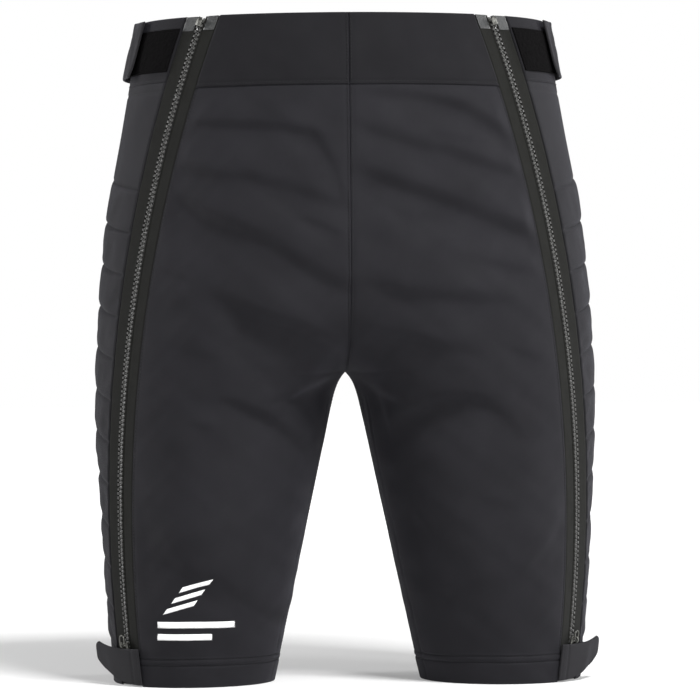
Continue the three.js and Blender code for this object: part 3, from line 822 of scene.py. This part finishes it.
def body_panel(part, point, folds, side, top, middle, step):
    cloth = Cloth(point, folds, side, top, middle)
    u = spaced(140, step)[None]
    around_hem = np.add.outer(HEM_LINES, (-1.3, -0.7, 0, 0.7, 1.3)).ravel()
    rise = np.union1d(spaced(top, step * 1.15), around_hem / top)[:, None]
    u, z = np.broadcast_arrays(u, panel_height(rise, 1 - np.abs(u - middle), top))
    base, out = on_surface(point, u, z)
    from_middle, from_tape = cloth.across(u, z)
    lift = (cloth.lift(u, z, base) + stitch_grooves(z, HEM_LINES, 0.9) + 0.5 * smooth(24.5, 23, z)
            + stitch_grooves(from_middle, (0, 2.0), 0.5, 0.7) + stitch_grooves(from_tape, (1.9,), 0.3, 0.7)
            + stitch_grooves(from_middle, (INSEAM_LINE,), 0.6, 1.1) * smooth(CROTCH - 12, CROTCH - 32, z)
            + stitch_grooves(z, (top,), 0.9, 2.4))
    thing = pillow(f"{part}_cloth_{side}", (base, out), PANEL_OUT, PANEL_IN, side, PANEL_CLOTH, 0.8, lift,
                   middle_column=-middle)
    attach(thing, "shorts", [f"{part}_panel_{side}"])
    return cloth


FRONTS, BACKS = {}, {}
for side in SIDES:
    FRONTS[side] = body_panel("front", front_point, FRONT_FOLDS, side, FRONT_SEAM, 0, 1.7)
    BACKS[side] = body_panel("back", back_point, BACK_FOLDS, side, REAR_SEAM, 1, 2.2)


# ---- Waistband ----

BAND_LAP = 1.5


def rear_point(u, z):
    """The side and the back of the body as one: the side up to u = 0.5, then the back."""
    u, z = floats(u, z)
    side, back = side_point(np.minimum(u * 2, 1), z), back_point(np.maximum(u * 2 - 1, 0), z)
    return np.where((u < 0.5)[..., None], side, back)


def waistband(part, point, length, side, seam, middle):
    cloth = Cloth(point, [], side, HEIGHT, middle)
    u, z = crossed(spaced(length, 2.0), seam - BAND_LAP + (HEIGHT - seam + BAND_LAP) * spaced(54, 1.5))
    base, out = on_surface(point, u, z)
    from_middle, _ = cloth.across(u, z)
    lift = (0.35 * cloth_height([], base[..., 0] * SIDES[side] + 31, z, edge_distance(base))
            + stitch_grooves(z, (seam + 1.4,), 0.75) + stitch_grooves(from_middle, (0, 2.0), 0.5, 0.7))
    thing = pillow(f"waistband_{part}_cloth_{side}", (base, out), BAND_OUT, BAND_IN, side, BAND_CLOTH, 1.4,
                   lift, middle_column=-middle)
    attach(thing, "shorts", [f"waistband_{part}_{side}"])


for side in SIDES:
    waistband("front", front_point, 110, side, FRONT_SEAM, 0)
    waistband("rear", rear_point, 300, side, REAR_SEAM, 1)


# ---- Quilted sides: cloth simulation between the sewn channels ----

CHANNEL_ROWS = 12
PUFF = 1.1
MOST_PUFF = 3.0
SIM_PRESSURE = 2.5
GATHER_PASSES = 5      # smoothing sideways, which keeps the channels but softens gathers at the zip
SIM_SHRINK = -0.015
SIM_FRAMES = 20
SIM_COLUMNS = 61
ROWS_BELOW, ROWS_ABOVE = 13, 26


def bar_slant(u):
    return BAR_SLANT * (u - BAR_SIDE_LINE)


def quilt_rows():
    """The rows of the simulated side: a function from u to their heights, and each one's place
    within its channel."""
    below = np.linspace(0, 1, ROWS_BELOW, endpoint=False)
    within = np.arange(BAR_COUNT * CHANNEL_ROWS) / CHANNEL_ROWS
    above = np.linspace(0, 1, ROWS_ABOVE)

    def height(u):
        foot, top = BARS_FOOT + bar_slant(u), BARS_TOP + bar_slant(u)
        return np.concatenate([below[:, None] * foot,
                               foot + within[:, None] * CHANNEL_PITCH,
                               top + above[:, None] * (REAR_SEAM - top)])

    place = np.concatenate([np.zeros(len(below)), within % 1, np.zeros(len(above))])
    return height, place


def inflate(points, held, side):
    """Lets a sewn cloth swell under pressure, held at its seams, and returns where it ends."""
    start = on_body(points, side)
    faces = quads(np.arange(start[..., 0].size).reshape(start.shape[:2]))
    thing = make_object("swelling_cloth", points.reshape(-1, 3), faces.tolist(), side, QUILT_CLOTH)
    thing.vertex_groups.new(name="seams").add(np.flatnonzero(held).tolist(), 1.0, "REPLACE")
    cloth = thing.modifiers.new("cloth", "CLOTH")
    cloth.settings.vertex_group_mass = "seams"
    cloth.settings.quality = 6
    cloth.settings.mass = 0.12
    cloth.settings.tension_stiffness = cloth.settings.compression_stiffness = 30
    cloth.settings.shear_stiffness = 12
    cloth.settings.bending_stiffness = 0.25
    cloth.settings.use_pressure = True
    cloth.settings.uniform_pressure_force = SIM_PRESSURE
    cloth.settings.shrink_min = cloth.settings.shrink_max = SIM_SHRINK
    cloth.settings.effector_weights.gravity = 0
    cloth.point_cache.frame_start, cloth.point_cache.frame_end = 1, SIM_FRAMES
    scene = bpy.context.scene
    for step in range(1, SIM_FRAMES + 1):
        scene.frame_set(step)
    done = thing.evaluated_get(bpy.context.evaluated_depsgraph_get()).to_mesh()
    ended = np.empty(len(done.vertices) * 3)
    done.vertices.foreach_get("co", ended)
    mesh = thing.data
    bpy.data.objects.remove(thing)
    bpy.data.meshes.remove(mesh)
    scene.frame_set(1)
    moved = ended.reshape(start.shape) / MM - start
    moved[..., 0] *= SIDES[side]
    return moved


def twice_as_fine(grid, soften=True):
    """A grid with a point halfway between every two; soften smooths it a little."""
    for axis in (0, 1):
        grid = np.moveaxis(grid, axis, 0)
        finer = np.empty((2 * len(grid) - 1,) + grid.shape[1:])
        finer[::2] = grid
        finer[1::2] = (grid[:-1] + grid[1:]) / 2
        if soften:
            finer[1:-1] = (finer[:-2] + 2 * finer[1:-1] + finer[2:]) / 4
        grid = np.moveaxis(finer, 0, axis)
    return grid


def puffed(side):
    """Displacement of the quilted cloth on a fine grid, from a simulation on a coarse one."""
    height, place = quilt_rows()
    u = np.linspace(0, 1, SIM_COLUMNS)[None]
    z = height(u)
    u = np.broadcast_to(u, z.shape)
    base, out = on_surface(side_point, u, z)
    swell = 4 * place * (1 - place)
    rim = smooth(0, 12, edge_distance(base))
    uneven = 1 + 0.25 * np.sin(base[..., 0] / 9 + 2.3 * SIDES[side]) * np.sin(z / 21 + SIDES[side])
    lift = PUFF * np.minimum(swell[:, None], 1) * rim * uneven
    held = (place == 0)[:, None] | (edge_distance(base) < 0.1)
    moved = inflate(base + out * lift[..., None], held, side) + out * lift[..., None]
    away = np.sum(moved * out, -1, keepdims=True)
    moved += out * (np.clip(away, -0.4, MOST_PUFF) - away)
    for _ in range(GATHER_PASSES):
        moved[:, 1:-1] = (moved[:, :-2] + 2 * moved[:, 1:-1] + moved[:, 2:]) / 4
    return twice_as_fine(moved)


def quilted_side(side):
    u = np.linspace(0, 1, 2 * SIM_COLUMNS - 1)[None]
    z = twice_as_fine(quilt_rows()[0](np.linspace(0, 1, SIM_COLUMNS)[None]), soften=False)
    u = np.broadcast_to(u, z.shape)
    base, out = on_surface(side_point, u, z)
    groove = sum(hump(z - bar_slant(u), line, 1.5) for line in CHANNEL_LINES)
    hem = stitch_grooves(z, HEM_LINES) + stitch_grooves(z, (REAR_SEAM - SIDE_LINE_DROP,), 0.6, 1.3)
    surface = base + puffed(side) + out * (hem - 0.9 * groove)[..., None]
    facing = unit(np.cross(np.gradient(surface, axis=1), np.gradient(surface, axis=0)))
    full = rounding(edge_distance(base), 0.9)[..., None]
    middle, half = (SHELL_OUT + SHELL_IN) / 2, (SHELL_OUT - SHELL_IN) / 2
    thing = skin(f"quilted_side_{side}", surface + facing * (middle + half * full),
                 surface + facing * (middle - half * full), side, QUILT_CLOTH)
    attach(thing, "shorts", [f"side_shell_{side}"])


for side in SIDES:
    quilted_side(side)


# ---- Foam bars and lining ----

FOAM_OUT = -1.6
PAD_RIM, PAD_RISE = 3.5, 7
BAR_EDGE = 0.05
BAR_GAP = 4
LINING_EDGE = 0.03
LINING_BORDER = 6


def pad_depth(across):
    return PAD_RIM + PAD_RISE * np.sin(np.pi * np.clip(across, 0, 1)) ** 0.7


def foam_bar(side, number):
    foot = BARS_FOOT + number * CHANNEL_PITCH + BAR_GAP / 2
    rim = (0, 0.4, 1.1, 2.2)
    u, v = crossed(lerp(BAR_EDGE, 1 - BAR_EDGE, spaced(180, 3.5, rim)),
                   spaced(CHANNEL_PITCH - BAR_GAP, 2.4, rim))
    z = foot + v * (CHANNEL_PITCH - BAR_GAP) + bar_slant(u)
    depth = pad_depth(u) * (0.75 + 0.25 * np.sin(np.pi * v))
    thing = pillow(f"foam_pad_{number + 1:02d}_{side}", on_surface(side_point, u, z),
                   FOAM_OUT, FOAM_OUT - depth, side, FOAM, 4.5)
    attach(thing, "shorts", [f"foam_bar_{number + 1:02d}_{side}"])


def pad_lining(side):
    u, z = crossed(lerp(LINING_EDGE, 1 - LINING_EDGE, spaced(190, 3)),
                   lerp(BARS_FOOT - LINING_BORDER, BARS_TOP + LINING_BORDER, spaced(374, 2.8)))
    z = z + bar_slant(u)
    within = np.clip((z - bar_slant(u) - BARS_FOOT) / CHANNEL_PITCH, 0, BAR_COUNT) % 1
    surface = on_surface(side_point, u, z)
    from_edge = edge_distance(surface[0])
    tuck = 1.8 * (1 - np.sin(np.pi * within)) ** 3 * smooth(0, 8, from_edge)
    face = FOAM_OUT - (pad_depth(u) + 0.3) * smooth(0, 5, from_edge)
    thing = pillow(f"lining_{side}", surface, face, face - 1, side, LINING, 0.5, tuck)
    attach(thing, "shorts", [f"pad_lining_{side}"])


for side in SIDES:
    for number in range(BAR_COUNT):
        foam_bar(side, number)
    pad_lining(side)


# ---- Zips: tapes, teeth, ends ----

TAPE_TUCK = 19
TAPE_DIP = -2.0
TAPE_INNER = 2.7
CHAIN_SIDES = {"front": -1, "side": 1}
ZIP_BOX_Z, ZIP_STOP_Z = 8, TEETH_TOP - 0.4


def along_zip(name, z, across, middle, half, side, material):
    """A strip beside the chain, half thick to either side of middle."""
    top, bottom = on_zip(z, across, middle + half), on_zip(z, across, middle - half)
    if across[0, 0] < 0:
        top, bottom = top[:, ::-1], bottom[:, ::-1]
    return skin(name, top, bottom, side, material)


def tape(side, chain_side, direction):
    """One woven strip: a thick corded edge at the teeth, and the other edge under the panel."""
    across, z = crossed(np.concatenate([np.linspace(TAPE_INNER, 4.6, 9), np.linspace(5.4, 14.6, 9),
                                        np.linspace(15.4, TAPE_TUCK, 5)]),
                        np.linspace(1, HEIGHT - 0.7, 190))
    cord = 0.45 * hump(across, 3.6, 0.5)
    dip = TAPE_DIP * smooth(14.6, 16.6, across)
    wave = 0.16 * np.sin(z / 5.3 + direction) * np.sin(z / 17.0) * smooth(5, 9, across)
    half = np.where(across == TAPE_INNER, 0.3, 0.5 + cord)
    thing = along_zip(f"zip_cloth_{chain_side}_{side}", z, direction * across, dip + wave, half, side, TAPE)
    attach(thing, "shorts", [f"zip_tape_{chain_side}_{side}"])


def mirrored(part):
    points, faces = part
    return points * np.array([-1, 1, 1]), flipped(faces)


def tooth():
    """A moulded tooth: a block that grips the tape (+x) and a lower head that locks (-x)."""
    head = [(-0.1, 0.8), (-0.4, 0.92), (-1.0, 0.72), (-1.25, 0.4)]
    head = [(1.1, -0.5), (1.1, 0.5), (0.1, 0.46)] + head + [(x, -y) for x, y in head[::-1]] + [(0.1, -0.46)]
    block = [(2.75, 0.9), (2.5, 1.15), (1.15, 1.15), (0.9, 0.9)]
    block = [(2.75, -0.9)] + block + [(x, -y) for x, y in block[:0:-1]]
    return joined([plate(block, -1.5, 1.5, 0.3), plate(head, -0.8, 0.8, 0.15)])


def teeth(side, chain_side, direction):
    start = TEETH_FOOT + 1.2 + (TOOTH_PITCH / 2 if direction > 0 else 0)
    z = np.arange(start, TEETH_TOP - 1, TOOTH_PITCH)
    across, along, out, origin = zip_frames(z)
    one = tooth() if direction > 0 else mirrored(tooth())
    thing = make_part(f"zip_chain_{chain_side}_{side}", copies(one, origin, across, along, out), side, TOOTH)
    attach(thing, "shorts", [f"zip_teeth_{chain_side}_{side}"])


def at_zip(z, parts):
    """Small parts modelled around the chain, placed at height z."""
    across, along, out, origin = zip_frames(np.array([float(z)]))
    return copies(joined(parts), origin, across, along, out)


def oblong(x0, x1, y0, y1, corner, steps=4):
    """A rectangle with round corners, counter-clockwise."""
    points = []
    for cx, cy, start in ((x1 - corner, y0 + corner, -90), (x1 - corner, y1 - corner, 0),
                          (x0 + corner, y1 - corner, 90), (x0 + corner, y0 + corner, 180)):
        for angle in np.radians(start + np.linspace(0, 90, steps + 1)):
            points.append((cx + corner * math.cos(angle), cy + corner * math.sin(angle)))
    return points


def zip_ends(side):
    """The box and pins at the foot of the chain, and a stop over each row at its top."""
    foot = [plate(oblong(-3.4, 3.4, -5.4, 4.2, 0.9), -1.9, 1.9, 0.4),
            plate(oblong(-1.5, -0.3, 4.0, 7.2, 0.4), -0.9, 0.9),
            plate(oblong(0.3, 1.5, 4.0, 7.2, 0.4), -0.9, 0.9)]
    attach(make_part(f"zip_box_{side}", at_zip(ZIP_BOX_Z, foot), side, TOOTH), "shorts")
    for chain_side, direction in CHAIN_SIDES.items():
        x = sorted((direction * 1.4, direction * 3.4))
        stop = plate(oblong(x[0], x[1], -1.1, 1.1, 0.4), -1.5, 1.5, 0.35)
        stop = make_part(f"zip_stop_{chain_side}_{side}", at_zip(ZIP_STOP_Z, [stop]), side, TOOTH)
        attach(stop, "shorts")


FILM_FOOT = 513.6


def film_patch(side, chain_side, direction):
    across, z = crossed(np.linspace(4.4, 14.8, 12),
                        FILM_FOOT + (HEIGHT - 0.5 - FILM_FOOT) * spaced(11, 1, (0, 0.15, 0.4)))
    crease = 0.12 * np.sin(z * 1.3 + across) * np.sin(across * 0.8)
    thing = along_zip(f"film_patch_{chain_side}_{side}", z, direction * across, 0.65 + crease, 0.2,
                      side, FILM)
    attach(thing, "shorts")


for side in SIDES:
    zip_ends(side)
    for chain_side, direction in CHAIN_SIDES.items():
        tape(side, chain_side, direction)
        teeth(side, chain_side, direction)
        film_patch(side, chain_side, direction)


# ---- Sliders and their pulls ----

SLIDER_EDGE = [(-3.0, 7.0), (-3.2, 5.6), (-4.0, 1.4), (-4.5, -1.6), (-4.5, -5.6), (-4.1, -6.7),
               (-3.2, -7.0), (-1.2, -7.0)]
SLIDER_OUTLINE = SLIDER_EDGE + [(0, -6.4)] + [(-x, y) for x, y in SLIDER_EDGE[::-1]]
SHORT_PLATE = oblong(-2.7, 2.7, -7.0, -0.6, 0.9)
SLIDER_GAP = 2.6
SLIDER_PLATE = 1.3
RING = {"half_width": 3.0, "length": 7.4, "wire": 0.55}
GRIP = {"half_width": 3.5, "length": 24, "start": 9}


def slider_body(short_back=False):
    """Two plates with turned-in flanges, and the arch that holds the pull."""
    parts = []
    for low, high in ((SLIDER_GAP, SLIDER_GAP + SLIDER_PLATE), (-SLIDER_GAP - SLIDER_PLATE, -SLIDER_GAP)):
        if short_back and low < 0:
            parts.append(plate(SHORT_PLATE, low, high, 0.5))
            continue
        parts.append(plate(SLIDER_OUTLINE, low, high, 0.4))
        flange = sorted((math.copysign(1.7, low), math.copysign(SLIDER_GAP + 0.4, low)))
        for edge in (-1, 1):
            x = sorted((edge * 3.8, edge * 4.4))
            parts.append(plate(oblong(x[0], x[1], -6.0, -1.2, 0.25), *flange, 0.12))
    angle = np.linspace(math.pi, 0, 13)
    arch = np.stack([0 * angle, BAIL_OFFSET + 2.0 * np.cos(angle), BAIL_AXIS - 0.3 + 1.9 * np.sin(angle)], -1)
    foot = SLIDER_GAP + SLIDER_PLATE - 0.3
    arch = np.concatenate([[[0, BAIL_OFFSET - 2.4, foot]], arch, [[0, BAIL_OFFSET + 2.2, foot]]])
    parts.append(sweep(arch, 0.75, 10, up=(1.0, 0, 0)))
    return parts


def wire_loop(path, radius):
    """A closed wire in the plane of the pull; y is measured from the slider's arch."""
    return sweep([(x, BAIL_OFFSET + y, BAIL_AXIS) for x, y in path], radius, 8, closed=True)


def ring_pull():
    """A wire ring whose straight side lies in the slider's arch."""
    half, corner = RING["half_width"], 1.0
    bow = np.radians(np.linspace(0, 180, 17))
    path = [(-half + corner, 0), (-half / 3, 0), (half / 3, 0), (half - corner, 0), (half - 0.3, 0.3),
            (half, corner)]
    path += [(half * math.cos(a), RING["length"] - half + half * math.sin(a)) for a in bow]
    path += [(-half, corner), (-half + 0.3, 0.3)]
    return [wire_loop(path, RING["wire"])]


def grip_pull():
    """A flat pull: a wire loop through the arch and a ribbed grip."""
    half, loop = GRIP["half_width"] - 1.0, 3.0
    end = GRIP["start"] + 1
    path = [(-half + 0.6, 0), (0, 0), (half - 0.6, 0), (half, 0.8), (half, loop), (half - 0.2, end),
            (0, end + 0.2), (-half + 0.2, end), (-half, loop), (-half, 0.8)]
    parts = [wire_loop(path, 0.6)]
    foot, tip = BAIL_OFFSET + GRIP["start"], BAIL_OFFSET + GRIP["length"]
    outline = oblong(-GRIP["half_width"], GRIP["half_width"], foot, tip, 1.8, 6)
    parts.append(plate(outline, BAIL_AXIS - 0.6, BAIL_AXIS + 0.6, 0.3))
    for y in np.arange(foot + 3, tip - 2.5, 1.8):
        rib = oblong(-2.4, 2.4, y - 0.45, y + 0.45, 0.4)
        parts.append(plate(rib, BAIL_AXIS - 0.85, BAIL_AXIS + 0.85, 0.2))
    return parts


def turned_in(part):
    """Half a turn about the slider's own cross axis: the pull is then inside the garment."""
    points, faces = part
    return points * np.array([1, -1, -1]), faces


for side in SIDES:
    outer = {"slider": slider_body(), "pull": ring_pull()}
    inner = {"slider": [turned_in(part) for part in slider_body(short_back=True)],
             "pull": [turned_in(part) for part in grip_pull()]}
    for end, z, pieces in (("bottom", BOTTOM_SLIDER_Z, outer), ("top", TOP_SLIDER_Z, inner)):
        body = make_part(f"{end}_slider_body_{side}", at_zip(z, pieces["slider"]), side, METAL)
        attach(body, f"{end}_slider_{side}", [f"{end}_slider_{side}"])
        pull = make_part(f"{end}_pull_{side}_wire", at_zip(z, pieces["pull"]), side, METAL)
        attach(pull, f"{end}_pull_{side}", [f"{end}_slider_pull_{side}"])


# ---- Hook and loop, and the tabs ----

PILE_STEP = 0.9
PILE_TOP = 2.9
PATCH_RIM = (0, 0.3, 0.8)


def pile(name, u_range, z_range, low, side, seed):
    """A patch of loop whose nap stands unevenly."""
    corners = side_point(np.array(u_range), np.mean(z_range))
    width = np.linalg.norm(corners[1] - corners[0]) * 1.05
    u, z = crossed(lerp(*u_range, spaced(width, PILE_STEP, PATCH_RIM)),
                   lerp(*z_range, spaced(z_range[1] - z_range[0], PILE_STEP, PATCH_RIM)))
    surface = on_surface(side_point, u, z)
    distance = edge_distance(surface[0])
    nap = np.random.default_rng(seed).normal(0, 0.14, u.shape)
    nap = (nap + (np.roll(nap, 1, 0) + np.roll(nap, 1, 1)) / 2) * smooth(0.6, 2.4, distance)
    sewn = -0.55 * hump(distance, 1.6, 0.5)
    thing = pillow(name, surface, PILE_TOP, low, side, LOOP, 0.8, nap + sewn)
    attach(thing, "shorts")
    return thing


def hem_tab_point(u, v):
    u, v = np.broadcast_arrays(np.clip(u, 0, None).astype(float), np.asarray(v, float))
    rounded = 5 * np.abs(2 * v - 1) ** 5
    run = (HEM_TAB_LENGTH - rounded) * u
    rise = np.radians(HEM_TAB_FLARE - HEM_TAB_CURL * run / HEM_TAB_LENGTH / 2)
    foot = lerp(HEM_TAB_FOOT, HEM_TAB_TIP_FOOT, u ** HEM_TAB_SWEEP["foot"])
    top = lerp(HEM_TAB_TOP, HEM_TAB_TIP_TOP, u ** HEM_TAB_SWEEP["top"])
    middle = (HEM_TAB_FOOT + HEM_TAB_TOP) / 2
    place = (run * np.cos(rise) - HEM_TAB_HINGE, lerp(foot, top, v) - middle,
             HEM_TAB_STAND_OFF + run * np.sin(rise))
    *axes, origin = (part[0] for part in zip_frames(np.array([middle])))
    return origin + sum(distance[..., None] * axis for distance, axis in zip(place, axes))


def on_hem_tab(u, v, step=0.004):
    """Points of the hem tab's middle layer, and its outward directions there."""
    out = unit(np.cross(hem_tab_point(u + step, v) - hem_tab_point(u - step, v),
                        hem_tab_point(u, v + step) - hem_tab_point(u, v - step)))
    return hem_tab_point(u, v), out


TAB_SEAM, TAB_HEM = 8.0, 1.4     # lines of stitches, from the sewn end of the tab


def hem_tab(side):
    u, v = crossed(spaced(HEM_TAB_LENGTH, 1.1), spaced(29, 1.0))
    run = u * HEM_TAB_LENGTH
    crease = 0.5 * hump(run, TAB_SEAM, 0.8) + 0.35 * hump(run, TAB_HEM, 0.7)
    fold = 0.9 * hump(run, 30 + 9 * v, 6) - 0.7 * hump(run, 44 - 6 * v, 7)
    lift = -crease + fold * smooth(0, 0.25, u) * (0.6 if side == "left" else 0.35)
    thing = pillow(f"hem_tab_cloth_{side}", on_hem_tab(u, v), 1.1, -1.1, side, TAB_CLOTH, 1.2, lift)
    attach(thing, f"hem_tab_{side}", [f"hem_tab_{side}"])
    u, v = crossed(lerp(0.5, 0.93, spaced(26, 1.0, PATCH_RIM)), lerp(0.13, 0.87, spaced(16, 1.0, PATCH_RIM)))
    bristle = 0.18 * np.sin(u * 160) * np.sin(v * 90)
    thing = pillow(f"hook_sheet_{side}", on_hem_tab(u, v), -0.9, -2.5, side, HOOK, 0.5, bristle)
    attach(thing, f"hem_tab_{side}", [f"hem_hook_{side}"])


WAIST_TAB = {"across": (0.27, 0.99), "height": (479, 524.5), "stand_off": 3.8, "thickness": 2, "length": 94}
WAIST_TAB_FLARE = {"left": 1.6, "right": 2.4}


def waist_tab_place(u, v, side):
    """The side's surface behind points of the tab, and how far they stand off it."""
    surface = on_surface(side_point, lerp(*WAIST_TAB["across"], u), lerp(*WAIST_TAB["height"], v))
    return surface, WAIST_TAB["stand_off"] + WAIST_TAB_FLARE[side] * (1 - u) * (1 - v)


def waist_tab(side):
    u, v = crossed(spaced(WAIST_TAB["length"], 1.3), spaced(46, 1.2))
    surface, stand = waist_tab_place(u, v, side)
    diagonal = u * WAIST_TAB["length"] - 16 * v - 1
    crease = 1.3 * hump(diagonal, 0, 2.6) + 0.8 * smooth(0, 14, -diagonal) * v
    uneven = 0.4 * drape(u * 90 + 20 * SIDES[side], v * 46) * smooth(0, 6, edge_distance(surface[0]))
    thing = pillow(f"waist_tab_cloth_{side}", surface, WAIST_TAB["thickness"], 0, side, TAB_CLOTH, 1.2,
                   stand + crease + uneven)
    attach(thing, f"waist_tab_{side}", [f"waist_tab_{side}"])
    u, v = crossed(lerp(0.04, 0.42, spaced(33, 1.2, (0, 0.3))), lerp(0.1, 0.9, spaced(37, 1.2, (0, 0.3))))
    surface, stand = waist_tab_place(u, v, side)
    thing = pillow(f"waist_hook_sheet_{side}", surface, 0.1, -0.6, side, HOOK, 0.4, stand)
    attach(thing, f"waist_tab_{side}")


for number, side in enumerate(SIDES):
    thing = pile(f"waist_loop_pile_{side}", (0.008, 0.8), (482, 516), 1.0, side, 3 + number)
    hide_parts(f"waist_loop_{side}")
    thing = pile(f"hem_loop_pile_{side}", (0.04, 0.34), (7, 28), 0.9, side, 5 + number)
    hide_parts(f"hem_loop_{side}")
    hem_tab(side)
    waist_tab(side)


# ---- Topstitching ----

def sew(name, lines, side, body):
    attach(make_part(name, joined([stitches(*line) for line in lines]), side, THREAD), body)


def bare_line(point, u, z, off):
    """A line over a surface without folds, and its outward directions."""
    base, out = on_surface(point, u, z)
    return base + out * off, out


def topstitching(side):
    """Every line of visible thread on the panels and the waistband."""
    front, back = FRONTS[side], BACKS[side]
    around = np.linspace(0.01, 0.99, 120)
    lines = []
    for height in HEM_LINES:
        lines += [cloth.at(around, np.full(120, height), PANEL_OUT - 0.4) for cloth in (front, back)]
        lines.append(bare_line(side_point, around, np.full(120, height), SHELL_OUT - 0.4))
    tape_seam, inseam = np.linspace(2, 468, 200), np.linspace(3, CROTCH - 4, 110)
    centre_seam, below = np.linspace(CROTCH + 4, 467, 110), np.linspace(3, CROTCH - 26, 100)
    # cloth, distance from one edge, whether that is the edge at u = 1, heights, depth in the cloth
    for cloth, from_edge, at_one, z, sunk in (
            (front, 1.9, True, tape_seam, 0.15), (back, 2.0, False, tape_seam, 0.15),
            (front, 1.5, False, centre_seam, 0.15), (back, 1.5, True, centre_seam, 0.15),
            (front, 1.8, False, inseam, 0.15), (front, INSEAM_LINE, False, below, 0.55)):
        part = from_edge / cloth.width(z)
        lines.append(cloth.at(1 - part if at_one else part, z, PANEL_OUT - sunk))
    for seam, point, columns in ((FRONT_SEAM, front_point, 90), (REAR_SEAM, rear_point, 240)):
        along = np.linspace(0.008, 0.992, columns)
        lines.append(bare_line(point, along, np.full(columns, seam + 1.2), BAND_OUT - 0.6))
    lines.append(bare_line(side_point, around, np.full(120, REAR_SEAM - SIDE_LINE_DROP), SHELL_OUT - 0.75))
    lines += [bare_line(side_point, around, line + bar_slant(around), SHELL_OUT - 1.0)
              for line in CHANNEL_LINES]
    rise = np.linspace(FRONT_SEAM + 2, HEIGHT - 1.5, 20)
    u = 1.5 / Cloth(front_point, [], side, HEIGHT, 0).width(rise)
    lines.append(bare_line(front_point, u, rise, BAND_OUT - 0.15))
    sew(f"topstitching_{side}", lines, side, "shorts")


def tab_stitching(side):
    v = np.linspace(0.03, 0.97, 16)
    lines = []
    for run in (TAB_SEAM, TAB_HEM):
        base, out = on_hem_tab(np.full(16, run / HEM_TAB_LENGTH), v)
        lines.append((base + out * 0.55, out))
    sew(f"hem_tab_stitching_{side}", lines, side, f"hem_tab_{side}")


for side in SIDES:
    topstitching(side)
    tab_stitching(side)


# ---- A plain printed mark on the wearer's right thigh ----

def printed(name, corners, columns=6, rows=40):
    """A flat printed shape between four (x, z) corners, seen from the front."""
    (ax, az), (bx, bz), (cx, cz), (dx, dz) = corners
    s, t = crossed(np.linspace(0, 1, columns), np.linspace(0, 1, rows))
    x = lerp(lerp(ax, bx, s), lerp(dx, cx, s), t)
    z = lerp(lerp(az, bz, s), lerp(dz, cz, s), t)
    u = np.full_like(x, 0.5)
    for _ in range(12):
        here = front_point(u, z)[..., 0]
        slope = (front_point(u + 0.01, z)[..., 0] - here) / 0.01
        u = np.clip(u + (x - here) / slope, 0, 1)
    top, bottom = (FRONTS["right"].at(u, z, PANEL_OUT + above)[0] for above in (0.16, 0.02))
    thing = skin(name, top, bottom, "right", INK)
    attach(thing, "shorts")


def stroke(outer_x, z, length, rise, thickness, lean):
    """Corners of a printed stroke that starts at the outer side of the thigh."""
    inner_x = outer_x - length
    return [(outer_x, z), (outer_x - lean, z + thickness),
            (inner_x - lean, z + rise + thickness), (inner_x, z + rise)]


PRINT_STROKES = [(151, 38, 42, 0, 5, 0), (151, 47.5, 60, 0, 5, 0),
                 (147, 58, 24, 7, 4.5, 3), (141, 66.5, 24, 7, 4.5, 3), (135, 75, 24, 7, 4.5, 3)]
for number, shape in enumerate(PRINT_STROKES):
    printed(f"print_stroke_{number + 1}", stroke(*shape))


# ---- Studio ----

AMBIENT = 0.17
# Name, place, aim, width and height (m) and power (W)
SOFTBOXES = [
    ("overhead", (0.9, -1.75, 2.95), (0, 0, 0.25), (0.9, 0.6), 150),
    ("front_low", (0.1, -2.5, 0.35), (0, 0, 0.15), (1.5, 0.5), 9),
    ("front_left", (-1.9, -2.0, 1.1), (0, 0, 0.2), (0.9, 1.4), 12),
    ("front_right", (2.3, -1.7, 1.0), (0, 0, 0.2), (0.8, 1.2), 33),
    ("rim_left", (-2.2, 0.7, 0.8), (-0.1, 0, 0.25), (0.6, 1.6), 36),
    ("rim_right", (2.2, 0.7, 0.8), (0.1, 0, 0.25), (0.6, 1.6), 26),
]


def softbox(name, place, aim, size, power):
    data = bpy.data.lights.new(name, "AREA")
    data.shape = "RECTANGLE"
    data.size, data.size_y = size
    data.energy = power
    light = bpy.data.objects.new(name, data)
    bpy.context.collection.objects.link(light)
    light.location = place
    light.rotation_euler = (Vector(aim) - Vector(place)).to_track_quat("-Z", "Y").to_euler()


def studio():
    """A pale floor and a white world, with soft light from above, the front and both sides."""
    bpy.ops.mesh.primitive_plane_add(size=30)
    floor = bpy.context.object
    floor.name = "studio_floor"
    floor.data.materials.append(studio_floor())
    world = bpy.data.worlds.new("studio")
    bpy.context.scene.world = world
    world.use_nodes = True
    tree = world.node_tree
    shown, ambient = (node_output(tree, "Background", 0, {"Color": (1, 1, 1, 1), "Strength": strength})
                      for strength in (1.0, AMBIENT))
    seen = node_output(tree, "LightPath", "Is Camera Ray")
    mixed = node_output(tree, "MixShader", 0, {"Fac": seen, 1: ambient, 2: shown})
    tree.links.new(mixed, tree.nodes["World Output"].inputs["Surface"])
    for light in SOFTBOXES:
        softbox(*light)
    bpy.context.scene.view_settings.view_transform = "Standard"


studio()
